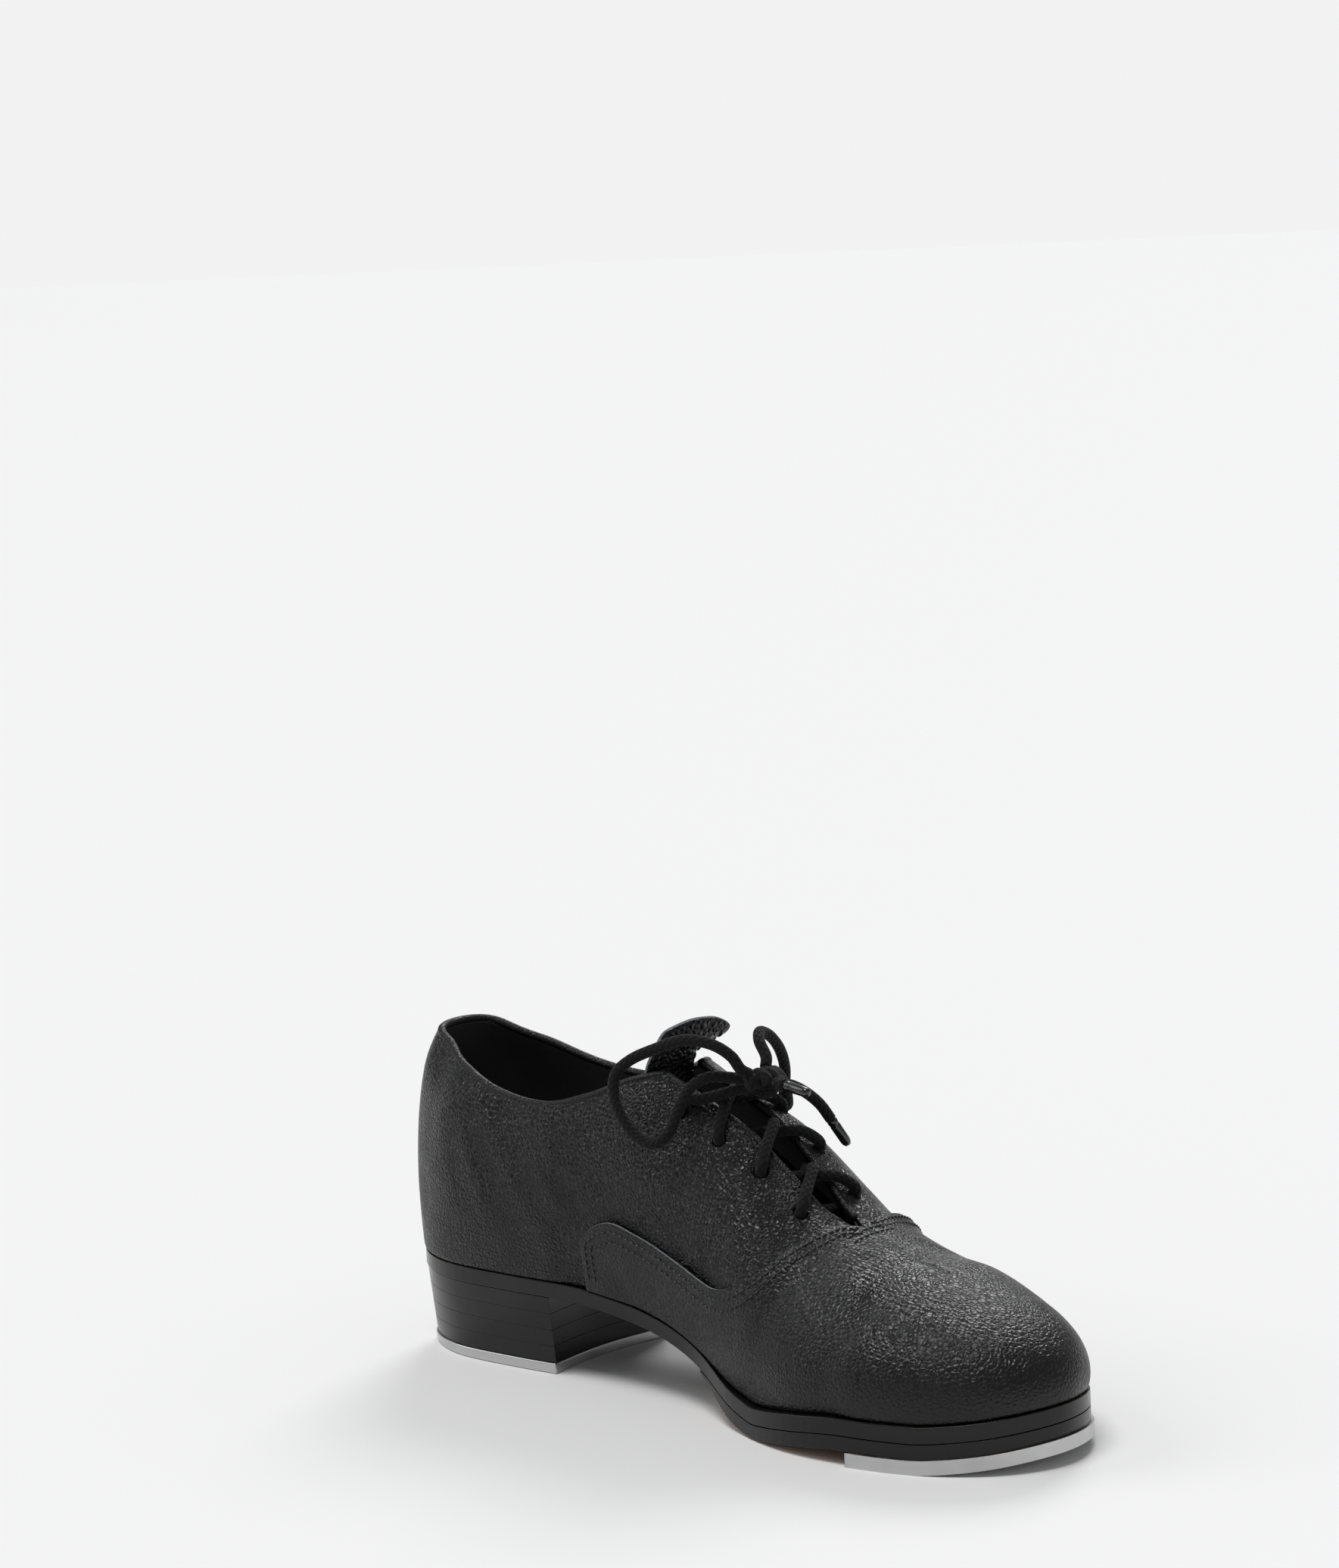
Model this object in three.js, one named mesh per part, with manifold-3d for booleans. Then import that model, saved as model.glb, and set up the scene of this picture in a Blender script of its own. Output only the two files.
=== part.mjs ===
// Tap shoe, left foot, of oxford cut with a laced bow, stacked heel and two metal taps.
// Millimetres. X points to the toe, Y to the outer (lateral) side, Z up, floor at Z = 0.

import * as THREE from 'three';
import { mergeVertices } from 'three/addons/utils/BufferGeometryUtils.js';
import Module from 'manifold-3d';

const wasm = await Module();
wasm.setup();

// ---------------------------------------------------------------- driving dimensions
const shoeLength = 268;        // the sole, heel back to toe
const ballWidth = 92;          // the sole at the ball of the foot
const seatHeight = 31.5;       // floor to the top of the sole under the heel
const collarHeight = 74.5;      // back of the topline above the sole
const sideHeight = 58;         // lowest point of the topline above the sole
const instepHeight = 77;       // top of the facings above the sole
const throatHeight = 49;       // ridge above the sole where the facings meet
const toeHeight = 22;          // ridge above the sole near the toe end
const toeSpring = 4.6;         // lift of the toe end over the flat of the tap

const heelTapThick = 3.6;
const toeTapThick = 4.4;
const tapOverhang = 1;         // toe tap past the sole edge
const outsoleThick = 5.2;
const halfSoleThick = 4.4;
const fillerThick = 2.2;
const boardThick = 1.8;
const sockThick = 1;
const shankWidth = 13;
const shankThick = 1.2;

const liningThick = 0.9;
const leatherThick = 1.3;      // vamp and quarters
const counterThick = 1;
const tongueThick = 2;
const laceDiameter = 3.2;
const agletDiameter = 3.4;
const eyeletDiameter = 6.2;
const liftCount = 4;
const vampUnderlap = 12;       // how far the quarters run on under the vamp

const screw = { head: 7, shank: 3, countersink: 2.2, sink: 0.4 };
const heelScrewLength = 14;
const toeScrewLength = 11;
const nail = { head: 4.4, headThick: 0.9, shank: 2.2, length: 22 };

const flatGap = 0.2;           // between flat faces that lie on each other
const curvedGap = 0.3;         // round screws, and over curved faces
const layerGap = 0.45;         // between the layers of the upper
const edgeGap = 0.4;           // between the edges of two pieces sewn edge to edge
const upperInset = 2.2;        // the foot's feather line inside the sole outline
const soleOverhang = 2.6;      // sole edge past that outline at the forefoot
const seatOverhang = 0.6;      // and round the heel
const heelTaper = 2.2;         // heel block narrower at the tap than at the seat
const heelBreast = 0.268;      // front of the heel, as a share of the length
const toeTapRear = 0.79;       // rear corners of the toe tap, likewise
const halfSoleRear = 0.52;      // where the half sole is skived away
const breastHollow = 3;        // depth of the hollow in the heel breast
const tapHollow = 9;           // and in the rear edge of the toe tap

// ---------------------------------------------------------------- curves and outline
const along = (share) => share * shoeLength;
const clamp01 = (t) => Math.min(1, Math.max(0, t));
const ease = (t) => clamp01(t) ** 2 * (3 - 2 * clamp01(t));

// A smooth curve through a few (x, y) knots.
function curveThrough(knots) {
  const slope = knots.map((k, i) => {
    const [a, b] = [knots[Math.max(i - 1, 0)], knots[Math.min(i + 1, knots.length - 1)]];
    return (b[1] - a[1]) / (b[0] - a[0]);
  });
  return (x) => {
    if (x <= knots[0][0]) return knots[0][1];
    let i = 0;
    while (i < knots.length - 2 && x > knots[i + 1][0]) i += 1;
    const step = knots[i + 1][0] - knots[i][0];
    const t = Math.min(1, (x - knots[i][0]) / step);
    return (2 * t ** 3 - 3 * t ** 2 + 1) * knots[i][1] + (t ** 3 - 2 * t ** 2 + t) * step * slope[i]
      + (3 * t ** 2 - 2 * t ** 3) * knots[i + 1][1] + (t ** 3 - t ** 2) * step * slope[i + 1];
  };
}

// Foot outline seen from above: shares of the length and of the ball width, inner side first.
const outlineKnots = [
  [0.006, 0], [0.026, -0.2], [0.1, -0.312], [0.205, -0.308], [0.317, -0.27], [0.41, -0.25],
  [0.505, -0.278], [0.605, -0.38], [0.70, -0.452], [0.79, -0.44], [0.88, -0.364], [0.948, -0.217],
  [0.977, -0.022], [0.951, 0.185], [0.88, 0.337], [0.776, 0.45], [0.67, 0.488], [0.567, 0.446],
  [0.455, 0.364], [0.343, 0.315], [0.216, 0.32], [0.1, 0.31], [0.026, 0.2],
];
const outline = new THREE.CatmullRomCurve3(
  outlineKnots.map(([x, y]) => new THREE.Vector3(along(x), y * ballWidth, 0)), true, 'catmullrom', 0.5,
).getPoints(184).slice(0, -1).map((p) => new THREE.Vector2(p.x, p.y));

// The outline grown outwards by a distance that may change with x.
function grown(distance) {
  const grow = typeof distance === 'function' ? distance : () => distance;
  return outline.map((p, i) => {
    const before = outline[(i + outline.length - 1) % outline.length];
    const after = outline[(i + 1) % outline.length];
    const dir = after.clone().sub(before).normalize();
    return new THREE.Vector2(p.x + dir.y * grow(p.x), p.y - dir.x * grow(p.x));
  });
}

// The two edges of a closed outline at one x.
function edgesAt(points, x) {
  const found = [];
  points.forEach((a, i) => {
    const b = points[(i + 1) % points.length];
    if ((a.x - x) * (b.x - x) < 0) found.push(a.y + ((x - a.x) / (b.x - a.x)) * (b.y - a.y));
  });
  return found.length ? [Math.min(...found), Math.max(...found)] : null;
}

// Top of the sole along the shoe: seat, waist, ball, tap seat and toe spring.
const shankDrop = curveThrough([[0, 1.03], [0.1, 1.019], [0.2, 1.008], [0.27, 1], [0.285, 0.998],
  [0.33, 0.955], [0.44, 0.72], [0.53, 0.38], [0.59, 0.12], [0.635, 0.01], [0.66, 0], [1, 0]]);
const ballRise = curveThrough([[0, 0], [0.62, 0], [0.64, 0.01], [0.71, 0.56], [0.765, 0.95],
  [0.79, 1], [0.81, 1], [1, 1]]);
const springRise = curveThrough([[0, 0], [0.85, 0], [0.875, 0], [0.94, 0.42], [1, 1.1]]);
const soleBuild = outsoleThick + halfSoleThick + flatGap;
const ballTop = 0.4 + soleBuild;
const tapSeatTop = toeTapThick + flatGap + soleBuild;
function smoothSoleTop(f) {
  return ballTop + (seatHeight - ballTop) * shankDrop(f) + (tapSeatTop - ballTop) * ballRise(f)
    + toeSpring * Math.max(0, springRise(f));
}

// The sole line is laid out in short straight facets, so that every layer stays parallel to it.
const facetShare = 0.025;
const facetCount = Math.round(1 / facetShare);
function soleTop(x) {
  const place = Math.min(Math.max(x / shoeLength / facetShare, 0), facetCount + 1);
  const low = Math.floor(place);
  const [a, b] = [smoothSoleTop(low * facetShare), smoothSoleTop((low + 1) * facetShare)];
  return a + (b - a) * (place - low);
}

const soleEdge = (x) => seatOverhang + (soleOverhang - seatOverhang) * ease((x / shoeLength - 0.48) / 0.14);

// ---------------------------------------------------------------- the last: the foot's own surface
// The ridge is a line from the heel centre to the toe centre. Rays leave it sideways, and fan
// round both ends, and each ray carries one upright section from the feather line to the ridge.
const heelCentre = new THREE.Vector2(along(0.116), 0);
const toeCentre = new THREE.Vector2(along(0.815), 0);
const ridgeRun = toeCentre.x - heelCentre.x;
const fanRadius = { heel: 29, toe: 40 };
const heelArc = (fanRadius.heel * Math.PI) / 2;
const toeArc = fanRadius.toe * Math.PI;
const wayRound = 2 * heelArc + 2 * ridgeRun + toeArc;

// A ray by its distance round the last, from the heel back along the inner side to the toe.
function rayAt(distance) {
  let d = ((distance % wayRound) + wayRound) % wayRound;
  const from = (centre, x, y) => ({ centre, dir: new THREE.Vector2(x, y) });
  if (d < heelArc) return from(heelCentre, -Math.cos(d / fanRadius.heel), -Math.sin(d / fanRadius.heel));
  d -= heelArc;
  if (d < ridgeRun) return from(new THREE.Vector2(heelCentre.x + d, 0), 0, -1);
  d -= ridgeRun;
  if (d < toeArc) return from(toeCentre, Math.sin(d / fanRadius.toe), -Math.cos(d / fanRadius.toe));
  d -= toeArc;
  if (d < ridgeRun) return from(new THREE.Vector2(toeCentre.x - d, 0), 0, 1);
  d -= ridgeRun;
  return from(heelCentre, -Math.sin(d / fanRadius.heel), Math.cos(d / fanRadius.heel));
}

const feather = grown(-upperInset);
function reachOf(ray) {
  let best = Infinity;
  feather.forEach((p, i) => {
    const q = feather[(i + 1) % feather.length];
    const a = p.clone().sub(ray.centre);
    const b = q.clone().sub(ray.centre);
    const [sideA, sideB] = [ray.dir.cross(a), ray.dir.cross(b)];
    if (sideA * sideB > 0 || sideA === sideB) return;
    const hit = a.lerp(b, sideA / (sideA - sideB)).dot(ray.dir);
    if (hit > 0) best = Math.min(best, hit);
  });
  return best;
}

const layersThick = liningThick + layerGap + leatherThick;
const lastRise = curveThrough([[0, collarHeight * 1.36], [0.03, collarHeight * 1.33],
  [0.075, collarHeight * 1.14], [0.12, collarHeight * 1.1], [0.2, collarHeight * 1.11],
  [0.3, collarHeight * 1.11], [0.38, instepHeight * 1.04], [0.42, instepHeight * 0.995],
  [0.48, instepHeight * 0.96], [0.54, instepHeight * 0.925], [0.6, instepHeight * 0.83],
  [0.65, throatHeight * 1.13], [0.7, throatHeight * 0.94], [0.76, throatHeight * 0.79],
  [0.84, throatHeight * 0.675], [0.9, toeHeight * 1.38], [0.96, toeHeight * 1.2],
  [1, toeHeight]]);
const innerFullness = curveThrough([[0, 5.5], [0.014, 5.5], [0.04, 2.8], [0.1, 3.4], [0.25, 5.5],
  [0.38, 7], [0.46, 5.5], [0.55, 3.5], [0.64, 3], [0.8, 4], [1, 4.5]]);
const outerFullness = curveThrough([[0, 5.5], [0.014, 5.5], [0.04, 3.2], [0.1, 4], [0.25, 6.5],
  [0.38, 7.5], [0.46, 6], [0.55, 4], [0.64, 3.5], [0.8, 4.5], [1, 4.5]]);

const rayCache = new Map();
function rayFor(distance) {
  const key = distance.toFixed(4);
  if (!rayCache.has(key)) {
    const ray = rayAt(distance);
    rayCache.set(key, { ...ray, reach: reachOf(ray) });
  }
  return rayCache.get(key);
}

const baseAt = (x) => soleTop(x) + curvedGap;
const riseAt = (x) => lastRise(x / shoeLength) - layersThick;

// A point of the last: distance round, and height share from 0 at the feather line to 1 at the ridge.
function lastPoint(distance, share) {
  const ray = rayFor(distance);
  const turn = (share * Math.PI) / 2;
  const outerShare = 0.5 + 0.5 * ray.dir.y;
  const edgeX = (ray.centre.x + ray.dir.x * ray.reach) / shoeLength;
  const full = innerFullness(edgeX) * (1 - outerShare) + outerFullness(edgeX) * outerShare;
  const out = ray.reach * Math.cos(turn) + full * Math.sin(2 * turn);
  const x = ray.centre.x + ray.dir.x * out;
  return new THREE.Vector3(x, ray.centre.y + ray.dir.y * out, baseAt(x) + riseAt(x) * Math.sin(turn));
}

function lastNormal(distance, share) {
  const [d, s] = [0.4, 0.004];
  const h = Math.min(Math.max(share, 0.004), 0.995);
  const round = lastPoint(distance + d, h).sub(lastPoint(distance - d, h));
  const up = lastPoint(distance, h + s).sub(lastPoint(distance, h - s));
  const normal = round.cross(up).normalize();
  normal.z = Math.max(0, normal.z);
  return normal.normalize();
}

const innerSide = (x) => heelArc + (x - heelCentre.x);
const outerSide = (x) => wayRound - heelArc - (x - heelCentre.x);
const rayX = (distance) => rayFor(distance).centre.x;

// Height share of a level above the sole, at the side ray of this x.
function shareOf(x, level) {
  return (2 / Math.PI) * Math.asin(clamp01((level - curvedGap) / riseAt(x)));
}

// Height share at which the section comes within this sideways distance of the ridge.
function shareBeside(distance, side) {
  let [low, high] = [0.45, 1];
  for (let i = 0; i < 30; i += 1) {
    const mid = (low + high) / 2;
    if (Math.abs(lastPoint(distance, mid).y) > Math.abs(side)) low = mid; else high = mid;
  }
  return high;
}

// A point off the last at an axis station, a signed sideways distance and a height off the surface.
function offLast(x, side, height) {
  const distance = side < 0 ? innerSide(x) : outerSide(x);
  const high = shareBeside(distance, side);
  const normal = lastNormal(distance, high);
  if (Math.abs(side) < 4) normal.y *= Math.abs(side) / 4;
  return lastPoint(distance, high).addScaledVector(normal.normalize(), height);
}

// ---------------------------------------------------------------- seams and edges of the upper
const collarEnd = along(0.412);        // top corner of the facings
const throat = along(0.682);
const vampRear = { inner: along(0.328), outer: along(0.342) };

const topline = curveThrough([[0, collarHeight], [0.03, collarHeight * 0.985],
  [0.1, (collarHeight + sideHeight) / 2], [0.18, sideHeight * 1.03], [0.27, sideHeight],
  [0.33, sideHeight * 1.085], [0.38, instepHeight * 0.91], [0.412, instepHeight * 0.955]]);
const wing = curveThrough([[0, 17], [0.015, 22], [0.05, 27], [0.09, 26.5], [0.16, 25.2], [0.22, 26],
  [0.262, 30.5], [0.3, 38], [0.33, 44], [0.352, 51]]);
const facingGap = curveThrough([[0.4, 7.6], [0.5, 6.8], [0.6, 6.1], [0.65, 4.2], [0.682, 1]]);

const sideOf = (distance) => {
  const way = ((distance % wayRound) + wayRound) % wayRound;
  return way < wayRound / 2 ? 'inner' : 'outer';
};

// Arc length of the upright section at this ray, to turn millimetres into height shares.
function sectionLength(distance) {
  const steps = 12;
  let total = 0;
  for (let i = 0; i < steps; i += 1) {
    total += lastPoint(distance, i / steps).distanceTo(lastPoint(distance, (i + 1) / steps));
  }
  return total;
}

// Upper edge of the vamp: up the wing, along its low line and up to the throat.
function vampEdge(distance) {
  const x = rayX(distance);
  if (x >= throat + 4) return 1;
  const run = (x - vampRear[sideOf(distance)]) / shoeLength;
  return Math.min(shareOf(x, wing(Math.max(run, 0))), 0.93);
}

// The height share where a ray meets the topline.
function shareAtTopline(distance) {
  let [low, high] = [0.2, 0.85];
  for (let i = 0; i < 24; i += 1) {
    const mid = (low + high) / 2;
    const p = lastPoint(distance, mid);
    if (p.z - soleTop(p.x) < topline(p.x / shoeLength)) low = mid; else high = mid;
  }
  return high;
}

// Upper edge of a quarter: the topline behind the facings, then the facing's front edge.
function quarterTop(distance) {
  const ray = rayFor(distance);
  if (ray.centre.x < collarEnd) return shareAtTopline(distance);
  return shareBeside(distance, facingGap(Math.min(ray.centre.x, throat) / shoeLength));
}

function quarterBottom(distance) {
  const x = rayX(distance);
  const side = sideOf(distance);
  if (x < vampRear[side] + vampUnderlap) return 0;
  const edge = Math.min(vampEdge(distance), quarterTop(distance));
  return Math.max(0, edge - vampUnderlap / sectionLength(distance));
}

// The line where the vamp lining and the quarter lining meet.
const liningSink = 0.75;               // under the overlap the vamp lining lies deeper
const liningSplit = { low: along(0.45), high: along(0.69) };
function liningSeam(distance) {
  const run = (rayX(distance) - liningSplit.low) / (liningSplit.high - liningSplit.low);
  return 0.02 + 0.9 * clamp01(run);
}

// Room for the heel counter and the toe puff between lining and leather.
const counterFront = along(0.27);
const counterTop = 0.4;
const puffRear = along(0.8);
const easeWidth = 12;
function counterRoom(distance, share) {
  const x = lastPoint(distance, share).x;
  const forward = 1 - ease((x - counterFront) / easeWidth);
  return forward * (1 - ease((share - counterTop - 0.03) / 0.14));
}
const puffRoom = (distance, share) => {
  const ahead = lastPoint(distance, share).x - puffRear;
  return ease((ahead + easeWidth) / easeWidth);
};
const skinFloor = liningThick + layerGap;
const counterLift = counterThick + layerGap;

// The vamp rises over the quarters where it overlaps them.
function overlapRoom(distance, share) {
  const x = rayX(distance);
  const below = (vampEdge(distance) - share) * sectionLength(distance);
  const ahead = x - vampRear[sideOf(distance)];
  if (x >= throat + vampUnderlap + 8) return 0;
  const past = x > throat ? Math.max(0, x - throat) : 0;
  const depth = Math.min(Math.max(below, 0), Math.max(ahead, 0)) + past * 0.4;
  return 1 - ease((depth - vampUnderlap - 8) / 8);
}

// ---------------------------------------------------------------- geometry helpers
function geometryOf(positions, triangles) {
  const geometry = new THREE.BufferGeometry();
  const values = positions.flatMap((p) => [p.x, p.y, p.z]);
  geometry.setAttribute('position', new THREE.Float32BufferAttribute(values, 3));
  geometry.setIndex(triangles.flat());
  return geometry;
}

function solidOf(geometry) {
  const bare = geometry.clone();
  bare.deleteAttribute('normal');
  bare.deleteAttribute('uv');
  const merged = mergeVertices(bare, 1e-4);
  return new wasm.Manifold(new wasm.Mesh({
    numProp: 3,
    vertProperties: new Float32Array(merged.attributes.position.array),
    triVerts: new Uint32Array(merged.index.array),
  }));
}

function geometryFrom(solid) {
  const mesh = solid.getMesh();
  const geometry = new THREE.BufferGeometry();
  geometry.setAttribute('position', new THREE.BufferAttribute(new Float32Array(mesh.vertProperties), 3));
  geometry.setIndex(Array.from(mesh.triVerts));
  return geometry;
}

function cut(geometry, tools) {
  return geometryFrom(tools.reduce((solid, tool) => solid.subtract(solidOf(tool)), solidOf(geometry)));
}

// A wall between two sheets that share one grid of nodes; the free edges are closed all round.
function wall(columns, outerAt, innerAt, lift = (p) => p) {
  const index = new Map();
  const nodes = [];
  const idOf = (node) => {
    const p = node.at;
    const key = [p.x, p.y, p.z].map((v) => Math.round(v * 500)).join();
    if (!index.has(key)) {
      index.set(key, nodes.length);
      nodes.push({ ...node, normal: new THREE.Vector3() });
    }
    const id = index.get(key);
    nodes[id].normal.add(node.normal);
    return id;
  };
  const ids = columns.map((column) => column.map(idOf));
  const faces = [];
  for (let i = 0; i + 1 < ids.length; i += 1) {
    for (let j = 0; j + 1 < ids[i].length; j += 1) {
      const [a, b, c, d] = [ids[i][j], ids[i + 1][j], ids[i + 1][j + 1], ids[i][j + 1]];
      const length = (p, q) => nodes[p].at.distanceTo(nodes[q].at);
      if (length(a, c) <= length(b, d)) faces.push([a, b, c], [a, c, d]);
      else faces.push([a, b, d], [b, c, d]);
    }
  }
  const real = faces.filter(([a, b, c]) => a !== b && b !== c && a !== c);
  const shift = (n, height) => lift(n.at.clone().addScaledVector(n.normal, height));
  nodes.forEach((n) => n.normal.normalize());
  const outer = nodes.map((n) => shift(n, outerAt(n)));
  const inner = nodes.map((n) => shift(n, innerAt(n)));
  const triangles = real.map((f) => [...f]);
  real.forEach(([a, b, c]) => triangles.push([a, c, b].map((v) => v + nodes.length)));
  const edges = new Set(real.flatMap(([a, b, c]) => [`${a}_${b}`, `${b}_${c}`, `${c}_${a}`]));
  edges.forEach((edge) => {
    const [a, b] = edge.split('_').map(Number);
    if (edges.has(`${b}_${a}`)) return;
    triangles.push([b, a, a + nodes.length], [b, a + nodes.length, b + nodes.length]);
  });
  return geometryOf([...outer, ...inner], triangles);
}

function clearOfSole(p) {
  p.z = Math.max(p.z, soleTop(p.x) + curvedGap);
  return p;
}

// A layer of the upper, lying between two heights off the last.
function upperLayer({ stations, low, high, rows, inner, thick }) {
  const columns = stations.map((distance) => Array.from({ length: rows + 1 }, (_, j) => {
    const [a, b] = [low(distance), high(distance)];
    const share = a + ((b - a) * j) / rows;
    return { distance, share, at: lastPoint(distance, share), normal: lastNormal(distance, share) };
  }));
  const under = (n) => inner(n.distance, n.share);
  return wall(columns, (n) => under(n) + thick, under, clearOfSole);
}

// Stations round the last, closer together at the throat and round both ends.
const sideStations = [];
for (let x = heelCentre.x; x < toeCentre.x - 4; x += (x > along(0.62) && x < along(0.71) ? 4.5 : 9)) {
  sideStations.push(x);
}
const heelFan = 5;
const toeFan = 14;
const allStations = [
  ...Array.from({ length: heelFan }, (_, i) => (heelArc * i) / heelFan),
  ...sideStations.map(innerSide),
  ...Array.from({ length: toeFan + 1 }, (_, i) => heelArc + ridgeRun + (toeArc * i) / toeFan),
  ...[...sideStations].reverse().map(outerSide),
  ...Array.from({ length: heelFan }, (_, i) => wayRound - heelArc + (heelArc * (i + 1)) / heelFan),
];

// The stations strictly between two distances, with both ends added.
function stationsBetween(from, to) {
  const laps = [-wayRound, 0, wayRound];
  const inside = laps.flatMap((lap) => allStations.map((s) => s + lap))
    .filter((s) => s > from + 1.5 && s < to - 1.5);
  const unique = inside.sort((a, b) => a - b).filter((s, i) => i === 0 || s - inside[i - 1] > 0.01);
  return [from, ...unique, to];
}

// A slab that follows the sole line, cut square at both ends where it stops short of the outline.
function soleSlab({ grow, from, to, top, thick, rise = 0 }) {
  const edge = grown(grow);
  const [tip, tail] = [Math.max(...edge.map((p) => p.x)), Math.min(...edge.map((p) => p.x))];
  const [x0, x1] = [Math.max(from, tail + 0.02), Math.min(to, tip - 0.02)];
  const facets = Array.from({ length: facetCount + 2 }, (_, i) => along(i * facetShare));
  const round = [0.15, 0.7, 2, 4.2].flatMap((d) => [x0 + d, x1 - d]);
  const places = [x0, x1, ...facets, ...round].filter((x) => x >= x0 && x <= x1).sort((a, b) => a - b);
  const apart = places.filter((x, i) => i === 0 || i === places.length - 1 || x - places[i - 1] > 0.1);
  const columns = apart.map((x) => edgesAt(edge, x).map((y) => (
    { at: new THREE.Vector3(x, y, top(x)), normal: new THREE.Vector3(0, 0, 1) })));
  const thickAt = typeof thick === 'function' ? thick : () => thick;
  return wall(columns, () => rise, (n) => rise - thickAt(n.at.x));
}

// A solid through stacked rings of the same number of points, closed by flat caps.
function stacked(rings) {
  const count = rings[0].length;
  const flat = THREE.ShapeUtils.triangulateShape(rings[0].map((p) => new THREE.Vector2(p.x, p.y)), []);
  const triangles = [];
  rings.slice(1).forEach((_, level) => {
    for (let i = 0; i < count; i += 1) {
      const [a, b] = [level * count + i, level * count + ((i + 1) % count)];
      triangles.push([a, b, b + count], [a, b + count, a + count]);
    }
  });
  const last = (rings.length - 1) * count;
  flat.forEach(([a, b, c]) => triangles.push([a, c, b], [a + last, b + last, c + last]));
  return geometryOf(rings.flat(), triangles);
}

function rod(radiusTop, radiusBottom, length, sides = 14) {
  return new THREE.CylinderGeometry(radiusTop, radiusBottom, length, sides).rotateX(Math.PI / 2);
}

// A turned solid round a vertical axis from its half profile.
function turned(profile, sides = 16) {
  const points = profile.map(([r, z]) => new THREE.Vector2(r, z));
  return new THREE.LatheGeometry(points, sides).rotateX(Math.PI / 2);
}

class Route extends THREE.Curve {
  constructor(points) {
    super();
    this.line = new THREE.CatmullRomCurve3(points, false, 'centripetal');
  }

  getPoint(t) {
    return this.line.getPointAt(t);
  }
}

function tube(points, diameter, step, sides = 8) {
  const route = new Route(points);
  const section = new THREE.Shape(Array.from({ length: sides }, (_, i) => {
    const turn = (2 * Math.PI * i) / sides;
    return new THREE.Vector2((Math.cos(turn) * diameter) / 2, (Math.sin(turn) * diameter) / 2);
  }));
  const steps = Math.ceil(route.line.getLength() / step);
  return new THREE.ExtrudeGeometry(section, { steps, extrudePath: route, curveSegments: 1 });
}

// ---------------------------------------------------------------- materials
function finish(color, roughness, metalness = 0) {
  return new THREE.MeshStandardMaterial({ color, roughness, metalness });
}
const finishes = {
  leather: () => finish(0x16161a, 0.5),
  edge: () => finish(0x0c0c0d, 0.3),
  sole: () => finish(0x8a6242, 0.7),
  heel: () => finish(0x111112, 0.3),
  tap: () => finish(0xc6c7c9, 0.32, 0.9),
  steel: () => finish(0x8f9296, 0.35, 0.9),
  lining: () => finish(0x1c1c1e, 0.85),
  board: () => finish(0x9a8463, 0.9),
  cork: () => finish(0x8d6b45, 0.95),
  lace: () => finish(0x0d0d0e, 0.8),
  plastic: () => finish(0x0a0a0b, 0.2),
};

const shoe = new THREE.Group();
function add(name, geometry, material, at = [0, 0, 0]) {
  const mesh = new THREE.Mesh(geometry, finishes[material]());
  mesh.name = name;
  mesh.position.set(...at);
  shoe.add(mesh);
}

// ---------------------------------------------------------------- fixings
const seatScrews = [[0.045, 0], [0.2, -0.19], [0.2, 0.19]].map(([x, y]) => [along(x), y * ballWidth]);
const toeScrews = [[0.925, -0.02], [0.83, -0.28], [0.83, 0.3]].map(([x, y]) => [along(x), y * ballWidth]);
const nailPlaces = [[0.075, -0.13], [0.075, 0.13], [0.15, 0]].map(([x, y]) => [along(x), y * ballWidth]);

const screwProfile = (length) => [[0, 0], [screw.head / 2, 0], [screw.shank / 2, screw.countersink],
  [screw.shank / 2, length - 2], [0, length]];
const tipGap = 0.5;
const holeMouth = -6;
const [headHole, shankHole] = [screw.head / 2 + curvedGap, screw.shank / 2 + curvedGap];
const screwHole = (length) => turned([[0, holeMouth], [headHole, holeMouth], [headHole, 0],
  [shankHole, screw.countersink], [shankHole, length + tipGap], [0, length + tipGap]]);
const toeLift = (x) => Math.max(0, soleTop(x) - tapSeatTop);
const toeScrewBase = (x) => screw.sink + toeLift(x);
const heelHoles = seatScrews.map(([x, y]) => screwHole(heelScrewLength).translate(x, y, screw.sink));
const toeHoles = toeScrews.map(([x, y]) => screwHole(toeScrewLength).translate(x, y, toeScrewBase(x)));

const nailTop = (x) => soleTop(x) + curvedGap + fillerThick + flatGap + boardThick;
const [nailHead, nailShank] = [nail.head / 2 + curvedGap, nail.shank / 2 + curvedGap];
const [headFloor, nailFloor] = [-nail.headThick - flatGap, -nail.length - tipGap];
const nailHoles = nailPlaces.map(([x, y]) => turned([[0, nailFloor], [nailShank, nailFloor],
  [nailShank, headFloor], [nailHead, headFloor], [nailHead, nail.headThick], [0, nail.headThick]])
  .translate(x, y, nailTop(x)));

// ---------------------------------------------------------------- heel
// Heel outline: the sole outline behind the breast, closed by a hollow breast line.
const heelOutline = (shrink) => {
  const breast = along(heelBreast);
  const rim = grown(seatOverhang - 0.4 - shrink);
  const [low, high] = edgesAt(rim, breast);
  const round = rim.filter((_, i) => outline[i].x < breast - 3);
  const inner = round.filter((p) => p.y < 0).sort((a, b) => b.x - a.x);
  const outer = round.filter((p) => p.y >= 0).sort((a, b) => a.x - b.x);
  const hollow = Array.from({ length: 11 }, (_, i) => {
    const t = i / 10;
    return new THREE.Vector2(breast - breastHollow * Math.sin(Math.PI * t), high + (low - high) * t);
  });
  const thin = (list) => list.filter((_, i) => i % 2 === 0);
  return [...hollow, ...thin(inner), ...thin(outer)].reverse();
};

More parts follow.
